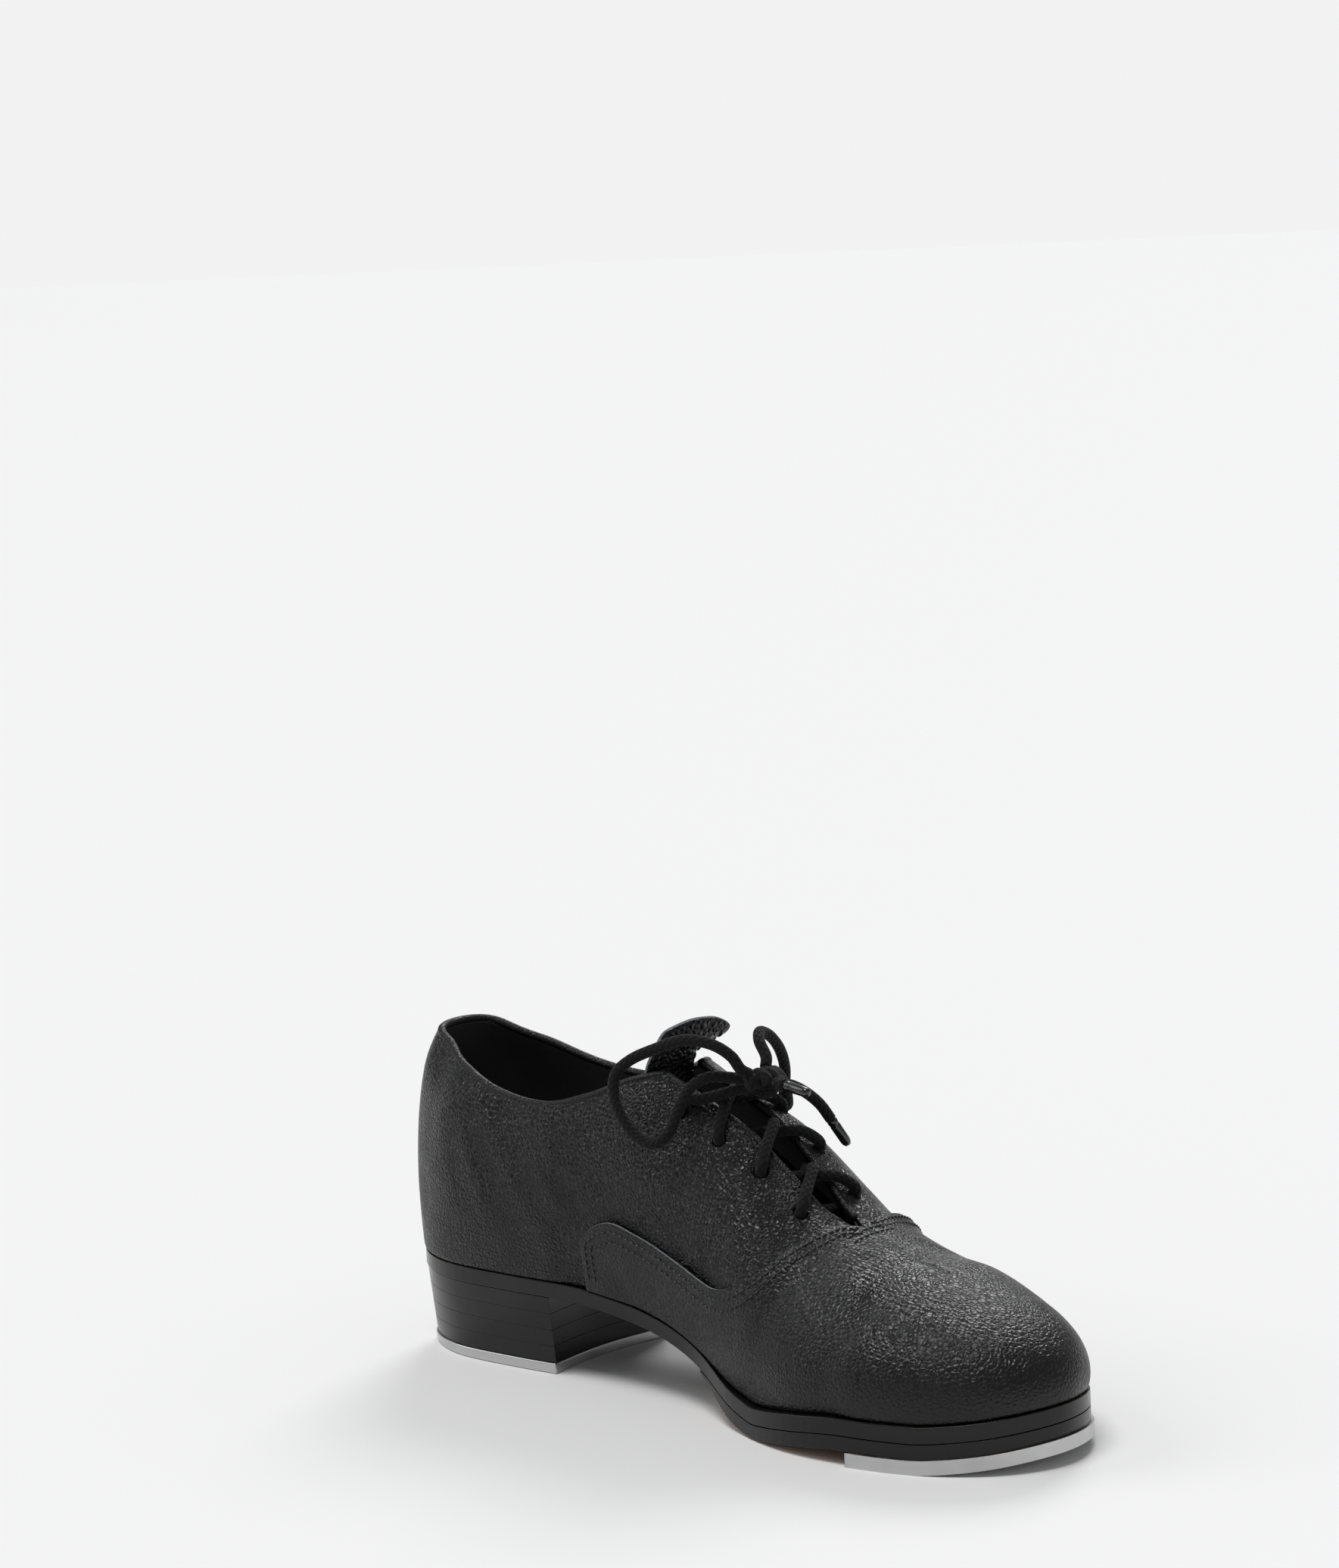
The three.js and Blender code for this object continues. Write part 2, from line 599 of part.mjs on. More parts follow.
const seatUnderside = (x) => soleTop(x) - outsoleThick - flatGap;
const heelBase = heelTapThick + flatGap;
const liftTop = (k, x) => heelBase + ((seatUnderside(x) - heelBase) * (k + 1)) / liftCount;
const taperAt = (share) => heelTaper * (1 - share);
for (let k = 0; k < liftCount; k += 1) {
  const lower = heelOutline(taperAt(k / liftCount)).map((p) => new THREE.Vector3(p.x, p.y,
    k === 0 ? heelBase : liftTop(k - 1, p.x) + curvedGap / 3));
  const upper = heelOutline(taperAt((k + 1) / liftCount))
    .map((p) => new THREE.Vector3(p.x, p.y, liftTop(k, p.x)));
  add(`heel_lift_${k + 1}`, cut(stacked([lower, upper]), [...heelHoles, ...nailHoles]), 'heel');
}
const tapRim = (shrink, z) => heelOutline(heelTaper + shrink).map((p) => new THREE.Vector3(p.x, p.y, z));
const heelTapBody = stacked([tapRim(0.2, 0), tapRim(-0.6, 0.9), tapRim(-0.6, heelTapThick)]);
add('heel_tap', cut(heelTapBody, heelHoles), 'tap');
seatScrews.forEach(([x, y], i) => {
  add(`heel_tap_screw_${i + 1}`, turned(screwProfile(heelScrewLength)), 'steel', [x, y, screw.sink]);
});
nailPlaces.forEach(([x, y], i) => {
  const profile = [[0, -nail.length], [nail.shank / 2, -nail.length + 2], [nail.shank / 2, -nail.headThick],
    [nail.head / 2, -nail.headThick], [nail.head / 2, 0], [0, 0]];
  add(`heel_nail_${i + 1}`, turned(profile, 12), 'steel', [x, y, nailTop(x)]);
});

// ---------------------------------------------------------------- sole
const pastHeel = -20;
const pastToe = shoeLength + 9;
const outsole = soleSlab({ grow: soleEdge, from: pastHeel, to: pastToe, top: soleTop,
  thick: outsoleThick });
add('outsole', cut(outsole, [...heelHoles, ...toeHoles, ...nailHoles]), 'sole');

const halfSoleTop = (x) => soleTop(x) - outsoleThick - flatGap;
const halfSoleTaper = (x) => {
  const skived = ease((x / shoeLength - halfSoleRear + 0.02) / 0.1);
  return Math.max(0.8, halfSoleThick * skived);
};
const halfSole = soleSlab({ grow: soleEdge, from: along(halfSoleRear), to: pastToe, top: halfSoleTop,
  thick: halfSoleTaper });
add('half_sole', cut(halfSole, toeHoles), 'sole');

// The toe tap: a half moon under the toe, hollow at the back, following the toe spring.
const tapBlank = soleSlab({ grow: soleOverhang + tapOverhang, from: along(toeTapRear), to: pastToe,
  top: (x) => toeTapThick + toeLift(x), thick: toeTapThick });
const hollowRadius = (ballWidth ** 2 / 4 + tapHollow ** 2) / (2 * tapHollow);
const tapBite = rod(hollowRadius, hollowRadius, 60, 96)
  .translate(along(toeTapRear) - hollowRadius + tapHollow, 0, 0);
add('toe_tap', cut(tapBlank, [tapBite, ...toeHoles]), 'tap');
toeScrews.forEach(([x, y], i) => {
  add(`toe_tap_screw_${i + 1}`, turned(screwProfile(toeScrewLength)), 'steel', [x, y, toeScrewBase(x)]);
});

// ---------------------------------------------------------------- bottom parts inside
const insideEdge = -upperInset - 0.6;
const shankEnds = [along(0.14), along(0.53)];
const shankBoardEnd = 0.57;
const shankSlot = soleSlab({ grow: 0, from: shankEnds[0] - tipGap, to: shankEnds[1] + tipGap, top: soleTop,
  thick: shankThick + 2 * curvedGap + 1, rise: shankThick + 2 * curvedGap });
const shankBand = (half) => new THREE.BoxGeometry(shoeLength, 2 * half, 200)
  .translate(shoeLength / 2, 0, 0);
const bandOf = (slab, half) => geometryFrom(solidOf(slab).intersect(solidOf(shankBand(half))));
const shankBoard = soleSlab({ grow: insideEdge, from: pastHeel, to: along(shankBoardEnd), top: soleTop,
  thick: fillerThick, rise: curvedGap + fillerThick });
const shankRoom = bandOf(shankSlot, shankWidth / 2 + curvedGap);
add('shank_board', cut(shankBoard, [shankRoom, ...nailHoles]), 'board');
const shankStrip = soleSlab({ grow: 0, from: shankEnds[0], to: shankEnds[1], top: soleTop,
  thick: shankThick,
  rise: curvedGap + shankThick });
add('steel_shank', cut(bandOf(shankStrip, shankWidth / 2), nailHoles), 'steel');
add('bottom_filler', soleSlab({ grow: insideEdge, from: along(shankBoardEnd) + edgeGap, to: pastToe,
  top: soleTop, thick: fillerThick, rise: curvedGap + fillerThick }), 'cork');
const boardRise = curvedGap + fillerThick + flatGap + boardThick;
add('insole_board', cut(soleSlab({ grow: insideEdge, from: pastHeel, to: pastToe, top: soleTop,
  thick: boardThick, rise: boardRise }), nailHoles), 'board');
add('sock_lining', soleSlab({ grow: insideEdge, from: pastHeel, to: pastToe, top: soleTop,
  thick: sockThick, rise: boardRise + flatGap + sockThick }), 'lining');

// ---------------------------------------------------------------- eyelets
const eyeletPlaces = [[0.455, 13.4], [0.517, 13.4], [0.575, 12.8], [0.63, 12.2]]
  .map(([x, y]) => [along(x), y]);
const eyeletHoles = (side) => eyeletPlaces.map(([x, y]) => {
  const [foot, head] = [offLast(x, side * y, -3), offLast(x, side * y, 8)];
  const hole = new THREE.CylinderGeometry(eyeletDiameter / 2, eyeletDiameter / 2, 11, 10);
  const turn = new THREE.Quaternion().setFromUnitVectors(new THREE.Vector3(0, 1, 0),
    head.clone().sub(foot).normalize());
  const middle = foot.add(head).multiplyScalar(0.5);
  return hole.applyQuaternion(turn).translate(middle.x, middle.y, middle.z);
});

// ---------------------------------------------------------------- upper
const quarterEnd = throat + 9;
const quarter = (stations, holes) => cut(upperLayer({
  stations,
  low: quarterBottom,
  high: quarterTop,
  rows: 7,
  inner: (d, s) => skinFloor + counterLift * counterRoom(d, s),
  thick: leatherThick,
}), holes);
const backGap = edgeGap / 2;
add('medial_quarter', quarter(stationsBetween(backGap, innerSide(quarterEnd)), eyeletHoles(-1)), 'leather');
const outerStations = stationsBetween(outerSide(quarterEnd), wayRound - backGap);
add('lateral_quarter', quarter(outerStations, eyeletHoles(1)), 'leather');

const overQuarter = leatherThick + layerGap + 0.3;
add('vamp', upperLayer({
  stations: stationsBetween(innerSide(vampRear.inner), outerSide(vampRear.outer)),
  low: () => 0,
  high: vampEdge,
  rows: 8,
  inner: (d, s) => skinFloor + Math.max(overQuarter * overlapRoom(d, s), counterLift * puffRoom(d, s)),
  thick: leatherThick,
}), 'leather');

const liningEnd = liningSplit.high - 4;
add('quarter_lining', cut(upperLayer({
  stations: stationsBetween(outerSide(liningEnd) - wayRound, innerSide(liningEnd)),
  low: (d) => (rayX(d) < liningSplit.low ? 0 : liningSeam(d) + edgeGap / sectionLength(d)),
  high: quarterTop,
  rows: 7,
  inner: () => 0,
  thick: liningThick,
}), [...eyeletHoles(-1), ...eyeletHoles(1)]), 'lining');
add('vamp_lining', upperLayer({
  stations: stationsBetween(innerSide(liningSplit.low + edgeGap), outerSide(liningSplit.low + edgeGap)),
  low: () => 0,
  high: (d) => (rayX(d) > liningSplit.high + 2 ? 1 : liningSeam(d)),
  rows: 7,
  inner: (d, s) => -liningSink * overlapRoom(d, s) * ease(s / 0.25),
  thick: liningThick,
}), 'lining');
add('heel_counter', upperLayer({
  stations: stationsBetween(outerSide(counterFront) - wayRound, innerSide(counterFront)),
  low: () => 0,
  high: () => counterTop,
  rows: 4,
  inner: () => skinFloor,
  thick: counterThick,
}), 'board');
add('toe_puff', upperLayer({
  stations: stationsBetween(innerSide(toeCentre.x - 0.1), outerSide(toeCentre.x - 0.1)),
  low: () => 0,
  high: () => 0.8,
  rows: 5,
  inner: () => skinFloor,
  thick: counterThick,
}), 'board');

// ---------------------------------------------------------------- tongue
// The tongue hangs from its sewn root at the throat, lies under the facings and stands up past them.
const sideLine = (places) => new THREE.CatmullRomCurve3(places.map(([x, z]) => new THREE.Vector3(x, 0, z)));
const tongueLine = sideLine([[173, 57], [159, 66.4], [144, 75.4], [129.5, 83.3], [118, 88.6],
  [109.2, 93.1], [106.4, 98.8], [107.6, 105], [110.6, 112], [112.4, 118]]);
const tongueHalf = curveThrough([[0, 15], [0.22, 19], [0.5, 17.5], [0.635, 13.6], [0.735, 11],
  [0.795, 11.3], [0.84, 12], [0.88, 12.9], [0.93, 12.2], [0.97, 9.5], [1, 6]]);
const tongueCurl = (t) => 20 + 50 * ease((t - 0.84) / 0.12);
// The free end has slipped sideways and turned a little towards the inner side.
const tongueShift = curveThrough([[0, 0], [0.735, 0], [0.795, 0.3], [0.84, 1.5], [0.88, 2.6], [0.93, 4.4], [1, 7.5]]);
const tongueTurn = (t) => 0.3 * ease((t - 0.85) / 0.1);
// Rows of points over a leather strip whose middle runs along a line, curled about that line.
function strip(line, { half, curl, shift, turn }, rows) {
  const across = 8;
  const columns = Array.from({ length: rows + 1 }, (_, i) => {
    const t = i / rows;
    const [middle, way] = [line.getPointAt(t), line.getTangentAt(t)];
    const out = new THREE.Vector3(way.z, 0, -way.x);
    return Array.from({ length: across + 1 }, (__, j) => {
      const y = half(t) * (1 - (2 * j) / across) + Math.max(0, shift(t));
      const at = middle.clone().addScaledVector(out, turn(t) * y - (y ** 2) / (2 * curl(t)));
      at.y = y;
      return { at, normal: new THREE.Vector3(out.x, y / curl(t) - turn(t), out.z).normalize() };
    });
  });
  return wall(columns, () => tongueThick / 2, () => -tongueThick / 2);
}
add('tongue', strip(tongueLine, { half: tongueHalf, curl: tongueCurl, shift: tongueShift, turn: tongueTurn },
  24), 'leather');
const rootLine = sideLine([[187.4, 49.9], [181.2, 53], [173.7, 56.8]]);
const rootShape = { half: () => 15, curl: () => tongueCurl(0), shift: () => 0, turn: () => 0 };
add('tongue_root', strip(rootLine, rootShape, 3), 'leather');

// ---------------------------------------------------------------- lace
// One lace: up from the bow through the four pairs of holes, crossing itself, and back to the bow.
const laceOver = layersThick + laceDiameter / 2 + 0.65;
const laceUnder = -(laceDiameter / 2 + 0.6);
const bendRun = 2.6;

// One crossing, from the outside of a lower hole to the inside of the next hole up, other side.
function crossing(k, side, onTop) {
  const [x1, y1] = eyeletPlaces[k + 1];
  const [x0, y0] = eyeletPlaces[k];
  const span = Math.hypot(x1 - x0, y1 + y0);
  const place = (t, height) => offLast(x1 + (x0 - x1) * t, side * (y1 - (y0 + y1) * t), height);
  const gap = facingGap((x0 + x1) / 2 / shoeLength);
  const [leave, centre, enter] = [(y1 - gap) / (y0 + y1), y1 / (y0 + y1), (y1 + gap) / (y0 + y1)];
  const bend = bendRun / span;
  const free = (laceDiameter / 2 + 1.3) / span;
  const middle = onTop ? laceOver - 0.6 : laceOver - laceDiameter - 1.1;
  return [
    place(0, -1), place(0, layersThick - 0.3), place(bend * 0.3, laceOver - 0.75), place(bend, laceOver),
    place(leave, laceOver), place(centre, middle),
    place(enter - free, laceUnder + 0.9), place(enter, laceUnder - 0.2),
    place(1 - bend, laceUnder), place(1 - bend * 0.3, laceUnder + 0.75),
  ];
}

const lowest = eyeletPlaces.length - 1;
function climb(side) {
  let way = [];
  let from = side;
  for (let k = lowest - 1; k >= 0; k -= 1) {
    way = [...way, ...crossing(k, from, (k + (side > 0 ? 1 : 0)) % 2 === 0)];
    from = -from;
  }
  const [x, y] = eyeletPlaces[0];
  return [...way, offLast(x, from * y, -1), offLast(x, from * y, layersThick - 0.3),
    offLast(x + 0.4, from * (y - 0.7), laceOver - 0.75), offLast(x + 1, from * (y - bendRun), laceOver),
    offLast(x + 5, from * 9, laceOver + 0.4)];
}
const knotCentre = new THREE.Vector3(147.5, -2, 101.8);
const knotSize = new THREE.Vector3(5.2, 7, 4.6);
// Where a lace that runs towards a point leaves the knot.
const knotGap = 0.5;
const leaving = (towards) => {
  const dir = towards.clone().sub(knotCentre).normalize();
  const reach = 1 / Math.hypot(dir.x / knotSize.x, dir.y / knotSize.y, dir.z / knotSize.z);
  return knotCentre.clone().addScaledVector(dir, reach + knotGap);
};
const toKnot = (way) => [...way, leaving(way[way.length - 1])];
const [barX, barY] = eyeletPlaces[lowest];
const bar = [-0.6, 0, 0.6].map((side) => offLast(barX + 1.2, side * barY, laceUnder - 0.4));
const sideA = toKnot(climb(-1));
const sideB = toKnot(climb(1));
add('lace_through_eyelets', tube([...sideA.reverse(), ...bar, ...sideB], laceDiameter, 2.9), 'lace');
const knot = new THREE.SphereGeometry(1, 16, 10).scale(knotSize.x, knotSize.y, knotSize.z);
add('lace_knot', knot, 'lace', knotCentre.toArray());

// The bow: two loops, two ends and their tips, as they lie.
const points = (list) => list.map((p) => new THREE.Vector3(...p));
const nearLoop = points([[144.8, -9.8, 107.2], [143, -12, 111.5], [138, -15, 115.2], [129.5, -18.5, 116.4],
  [119.5, -22, 113], [111.5, -25.5, 109], [107.8, -28, 104.8], [108, -29.6, 99], [111.6, -30.2, 92],
  [117.5, -29.6, 86], [124, -28.4, 84.4], [128.6, -26.4, 88.4], [129.6, -22.6, 95.6], [131, -18.4, 101.4],
  [134.5, -14.4, 104.2], [139.3, -9.4, 103.9]]);
const farLoop = points([[144, 3, 108.6], [139.5, 5, 112.8], [135.5, 9.6, 114.6], [133.6, 16, 112.2],
  [131.4, 23, 106.4], [128.4, 28.6, 98.6], [125.6, 31, 91], [126.4, 29.6, 86], [130.4, 27, 87.2],
  [133.6, 23, 93],
  [136.4, 17.4, 99], [140.8, 9.2, 102.6]]);
const nearEnd = points([[154.6, -3, 102.6], [157.2, -3.3, 102.4]]);
const farEnd = points([[149.6, 7.8, 99.4], [151.4, 12.6, 96.4], [153, 17.4, 91.8], [154, 21, 86.6]]);
const looped = (way) => [leaving(way[0]), ...way, leaving(way[way.length - 1])];
add('lace_loop_near', tube(looped(nearLoop), laceDiameter, 5), 'lace');
add('lace_loop_far', tube(looped(farLoop), laceDiameter, 5), 'lace');
add('lace_end_near', tube([leaving(nearEnd[0]), ...nearEnd], laceDiameter, 3), 'lace');
add('lace_end_far', tube([leaving(farEnd[0]), ...farEnd], laceDiameter, 5), 'lace');
add('aglet_near', tube(points([[157.5, -3.33, 102.37], [168, -4.4, 101.4]]), agletDiameter, 12), 'plastic');
add('aglet_far', tube(points([[154.05, 21.15, 86.3], [156, 26.6, 77.4]]), agletDiameter, 12), 'plastic');

// ---------------------------------------------------------------- place
// The origin is under the middle of the shoe, measured without the lace.
const laceNames = /^(lace|aglet)/;
const box = new THREE.Box3();
shoe.children.filter((mesh) => !laceNames.test(mesh.name))
  .forEach((mesh) => box.expandByObject(mesh, true));
const middle = box.getCenter(new THREE.Vector3());
shoe.position.set(-middle.x, -middle.y, -box.min.z);

export default shoe;
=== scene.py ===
"""Looks of a laced leather tap shoe for the left foot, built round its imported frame."""

import logging
import math
from dataclasses import dataclass, field
from enum import Enum
from typing import Callable, Iterable, Sequence

import bmesh
import bpy
from mathutils import Matrix, Vector
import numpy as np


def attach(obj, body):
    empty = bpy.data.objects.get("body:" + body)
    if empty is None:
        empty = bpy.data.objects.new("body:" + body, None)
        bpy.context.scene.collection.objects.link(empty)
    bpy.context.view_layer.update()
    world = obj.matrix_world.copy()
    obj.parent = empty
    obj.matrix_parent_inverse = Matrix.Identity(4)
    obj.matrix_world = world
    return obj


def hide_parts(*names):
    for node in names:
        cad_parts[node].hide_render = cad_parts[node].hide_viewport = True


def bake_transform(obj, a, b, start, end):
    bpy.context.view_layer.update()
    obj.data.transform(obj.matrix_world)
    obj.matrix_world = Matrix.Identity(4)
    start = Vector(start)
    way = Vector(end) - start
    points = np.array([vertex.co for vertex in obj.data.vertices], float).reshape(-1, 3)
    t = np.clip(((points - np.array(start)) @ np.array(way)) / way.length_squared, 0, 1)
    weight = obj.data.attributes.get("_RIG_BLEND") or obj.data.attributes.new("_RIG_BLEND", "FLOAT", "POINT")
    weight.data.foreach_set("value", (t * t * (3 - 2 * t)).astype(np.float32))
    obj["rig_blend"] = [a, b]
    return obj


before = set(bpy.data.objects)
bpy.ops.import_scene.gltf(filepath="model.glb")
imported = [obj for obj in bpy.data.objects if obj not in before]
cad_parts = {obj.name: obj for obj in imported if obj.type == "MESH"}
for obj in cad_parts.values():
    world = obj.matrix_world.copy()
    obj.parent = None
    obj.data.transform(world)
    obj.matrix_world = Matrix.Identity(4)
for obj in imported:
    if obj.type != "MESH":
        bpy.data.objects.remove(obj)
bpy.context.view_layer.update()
LOG = logging.getLogger("tap_shoe")

MM = 0.001
PLACE = Vector((-131.6363, -1.4457, 0.0))
ROOT = "shoe"
FLAP = "tongue_flap"
HOLE_RADIUS = 2.35
ROW_INSETS = (2.3, 4.9)
STITCH_RADIUS = 0.42
STITCH_SHARE = 0.41
VAMP_PITCH = 2.5
TONGUE_PITCH = 2.9
LACE_STEP = 0.8
EDGE_STEP = 1.6
TOPLINE_BEAD = 3.0
FACING_BEAD = 2.9
# Layers and gaps from the outsole to the top of the sock.
INSIDE_LAYERS = (0.3, 2.2, 0.2, 1.8, 0.2, 1.0)

Pairs = tuple[tuple[float, float], ...]
Spot = tuple[float, float, float]
Spots = tuple[Spot, ...]
Along = Callable[[float], float]


class Side(Enum):
    """The two sides of a left shoe."""

    INNER = -1
    OUTER = 1


def metres(point: Vector) -> Vector:
    """A point of the maker's drawing, in millimetres, in the frame's metres."""
    return (point + PLACE) * MM


def clamp01(t: float) -> float:
    """The number held between 0 and 1."""
    return min(1.0, max(0.0, t))


def ease(t: float) -> float:
    """A smooth step from 0 to 1."""
    t = clamp01(t)
    return t * t * (3 - 2 * t)


@dataclass(frozen=True)
class Knots:
    """A smooth curve through a few (x, y) knots."""

    at: Pairs

    def __call__(self, x: float) -> float:
        """The curve's height at x.

        Args:
            x: The place along the curve.

        Returns:
            The height, held level before the first knot.
        """
        k = self.at
        if x <= k[0][0]:
            return k[0][1]
        i = 0
        while i < len(k) - 2 and x > k[i + 1][0]:
            i += 1

        def slope(j: int) -> float:
            a, b = k[max(j - 1, 0)], k[min(j + 1, len(k) - 1)]
            return (b[1] - a[1]) / (b[0] - a[0])

        step = k[i + 1][0] - k[i][0]
        t = min(1.0, (x - k[i][0]) / step)
        return (
            (2 * t**3 - 3 * t**2 + 1) * k[i][1]
            + (t**3 - 2 * t**2 + t) * step * slope(i)
            + (3 * t**2 - 2 * t**3) * k[i + 1][1]
            + (t**3 - t**2) * step * slope(i + 1)
        )


def smooth_line(points: Sequence[Vector], pitch: float) -> list[Vector]:
    """Evenly spaced points on a smooth line through the given ones.

    Args:
        points: The points the line passes through, in order.
        pitch: The distance between the points returned.

    Returns:
        Points from the first to the last.
    """
    ends = [points[0] * 2 - points[1], *points, points[-1] * 2 - points[-2]]
    dense: list[Vector] = []
    for a, b, c, d in zip(ends, ends[1:], ends[2:], ends[3:]):
        gaps = [max((q - p).length, 1e-6) ** 0.5 for p, q in ((a, b), (b, c), (c, d))]
        t1, t2, t3 = gaps[0], gaps[0] + gaps[1], sum(gaps)
        for i in range(16):
            t = t1 + (t2 - t1) * i / 16
            ab = a * ((t1 - t) / t1) + b * (t / t1)
            bc = b * ((t2 - t) / (t2 - t1)) + c * ((t - t1) / (t2 - t1))
            cd = c * ((t3 - t) / (t3 - t2)) + d * ((t - t2) / (t3 - t2))
            low = ab * ((t2 - t) / t2) + bc * (t / t2)
            high = bc * ((t3 - t) / (t3 - t1)) + cd * ((t - t1) / (t3 - t1))
            dense.append(low * ((t2 - t) / (t2 - t1)) + high * ((t - t1) / (t2 - t1)))
    dense.append(points[-1].copy())
    return spaced(dense, pitch)


def spaced(dense: Sequence[Vector], pitch: float) -> list[Vector]:
    """Points at equal steps along a run of close points."""
    run = [0.0]
    for a, b in zip(dense, dense[1:]):
        run.append(run[-1] + (b - a).length)
    count = max(2, round(run[-1] / pitch))
    out, k = [], 0
    for i in range(count + 1):
        want = run[-1] * i / count
        while k < len(run) - 2 and run[k + 1] < want:
            k += 1
        share = (want - run[k]) / max(run[k + 1] - run[k], 1e-9)
        out.append(dense[k].lerp(dense[k + 1], min(1.0, share)))
    return out


# ---------------------------------------------------------------- finishes


@dataclass(frozen=True)
class Finish:
    """A surface finish with its own small patterns."""

    name: str
    colour: tuple[float, float, float]
    roughness: float
    metallic: float = 0.0
    coat: float = 0.0
    sheen: float = 0.0
    shine: float = 0.5

    def begin(self) -> tuple[bpy.types.Material, bpy.types.NodeTree, bpy.types.Node]:
        """A new material with its plain numbers set on the shader.

        Returns:
            The material, its node tree and its shader.
        """
        material = bpy.data.materials.new(self.name)
        material.use_nodes = True
        tree = material.node_tree
        shader = tree.nodes["Principled BSDF"]
        shader.inputs["Base Color"].default_value = (*self.colour, 1)
        shader.inputs["Roughness"].default_value = self.roughness
        shader.inputs["Metallic"].default_value = self.metallic
        shader.inputs["Specular IOR Level"].default_value = self.shine
        shader.inputs["Coat Weight"].default_value = self.coat
        shader.inputs["Coat Roughness"].default_value = 0.18
        shader.inputs["Sheen Weight"].default_value = self.sheen
        material.diffuse_color = (*self.colour, 1)
        return material, tree, shader

    def shade(
        self,
        p: "Pattern",
        shader: bpy.types.Node,
        pattern: bpy.types.NodeSocket,
        span: tuple[float, float],
        dim: float,
    ) -> None:
        """Darkens the colour where a pattern is low.

        Args:
            p: The pattern helper of the material.
            shader: Its shader.
            pattern: The values that choose the shade.
            span: The values that are darkest and lightest.
            dim: The darkest shade as a share of the colour.
        """
        dark = tuple(c * dim for c in self.colour)
        share = p.spread(pattern, span, (0, 1))
        p.link(p.mix(share, dark, self.colour), shader.inputs["Base Color"])

    def make(self) -> bpy.types.Material:
        """The finished material."""
        return self.begin()[0]


class Pattern:
    """Small helpers that place texture nodes in one tree."""

    def __init__(self, tree: bpy.types.NodeTree, source: str = "Object") -> None:
        """Starts from one output of the texture coordinates."""
        self.tree = tree
        self.where = tree.nodes.new("ShaderNodeTexCoord").outputs[source]

    def link(self, a: bpy.types.NodeSocket, b: bpy.types.NodeSocket) -> None:
        """Joins two sockets."""
        self.tree.links.new(a, b)

    def mapped(
        self, scale: tuple[float, float, float], turn: float = 0.0
    ) -> bpy.types.NodeSocket:
        """The coordinates stretched, and turned about Z.

        Args:
            scale: Cells per metre along each axis.
            turn: The turn in radians.

        Returns:
            The mapped coordinates.
        """
        node = self.tree.nodes.new("ShaderNodeMapping")
        node.inputs["Scale"].default_value = scale
        node.inputs["Rotation"].default_value = (0, 0, turn)
        self.link(self.where, node.inputs["Vector"])
        return node.outputs["Vector"]

    def noise(
        self, at: bpy.types.NodeSocket, scale: float, detail: float = 3.0
    ) -> bpy.types.NodeSocket:
        """Noise over the given coordinates."""
        node = self.tree.nodes.new("ShaderNodeTexNoise")
        node.inputs["Scale"].default_value = scale
        node.inputs["Detail"].default_value = detail
        self.link(at, node.inputs["Vector"])
        return node.outputs["Fac"]

    def cells(
        self, at: bpy.types.NodeSocket, scale: float, loose: float = 1.0, edges: bool = True
    ) -> bpy.types.NodeSocket:
        """Cells over the given coordinates: distance to the nearest edge or centre."""
        node = self.tree.nodes.new("ShaderNodeTexVoronoi")
        node.feature = "DISTANCE_TO_EDGE" if edges else "F1"
        node.inputs["Scale"].default_value = scale
        node.inputs["Randomness"].default_value = loose
        self.link(at, node.inputs["Vector"])
        return node.outputs["Distance"]

    def spread(
        self, value: bpy.types.NodeSocket, source: tuple[float, float], target: tuple[float, float]
    ) -> bpy.types.NodeSocket:
        """A value stretched from one range to another, and held in it."""
        node = self.tree.nodes.new("ShaderNodeMapRange")
        for name, number in zip(("From Min", "From Max", "To Min", "To Max"), (*source, *target)):
            node.inputs[name].default_value = number
        self.link(value, node.inputs["Value"])
        return node.outputs["Result"]

    def mix(
        self,
        share: bpy.types.NodeSocket,
        a: tuple[float, float, float],
        b: tuple[float, float, float],
    ) -> bpy.types.NodeSocket:
        """A blend of two colours."""
        node = self.tree.nodes.new("ShaderNodeMix")
        node.data_type = "RGBA"
        node.inputs["A"].default_value = (*a, 1)
        node.inputs["B"].default_value = (*b, 1)
        self.link(share, node.inputs["Factor"])
        return node.outputs["Result"]

    def bump(
        self,
        height: bpy.types.NodeSocket,
        depth_mm: float,
        strength: float,
        under: bpy.types.NodeSocket | None = None,
    ) -> bpy.types.NodeSocket:
        """A bump from a height, on top of another bump if one is given."""
        node = self.tree.nodes.new("ShaderNodeBump")
        node.inputs["Distance"].default_value = depth_mm * MM
        node.inputs["Strength"].default_value = strength
        self.link(height, node.inputs["Height"])
        if under is not None:
            self.link(under, node.inputs["Normal"])
        return node.outputs["Normal"]


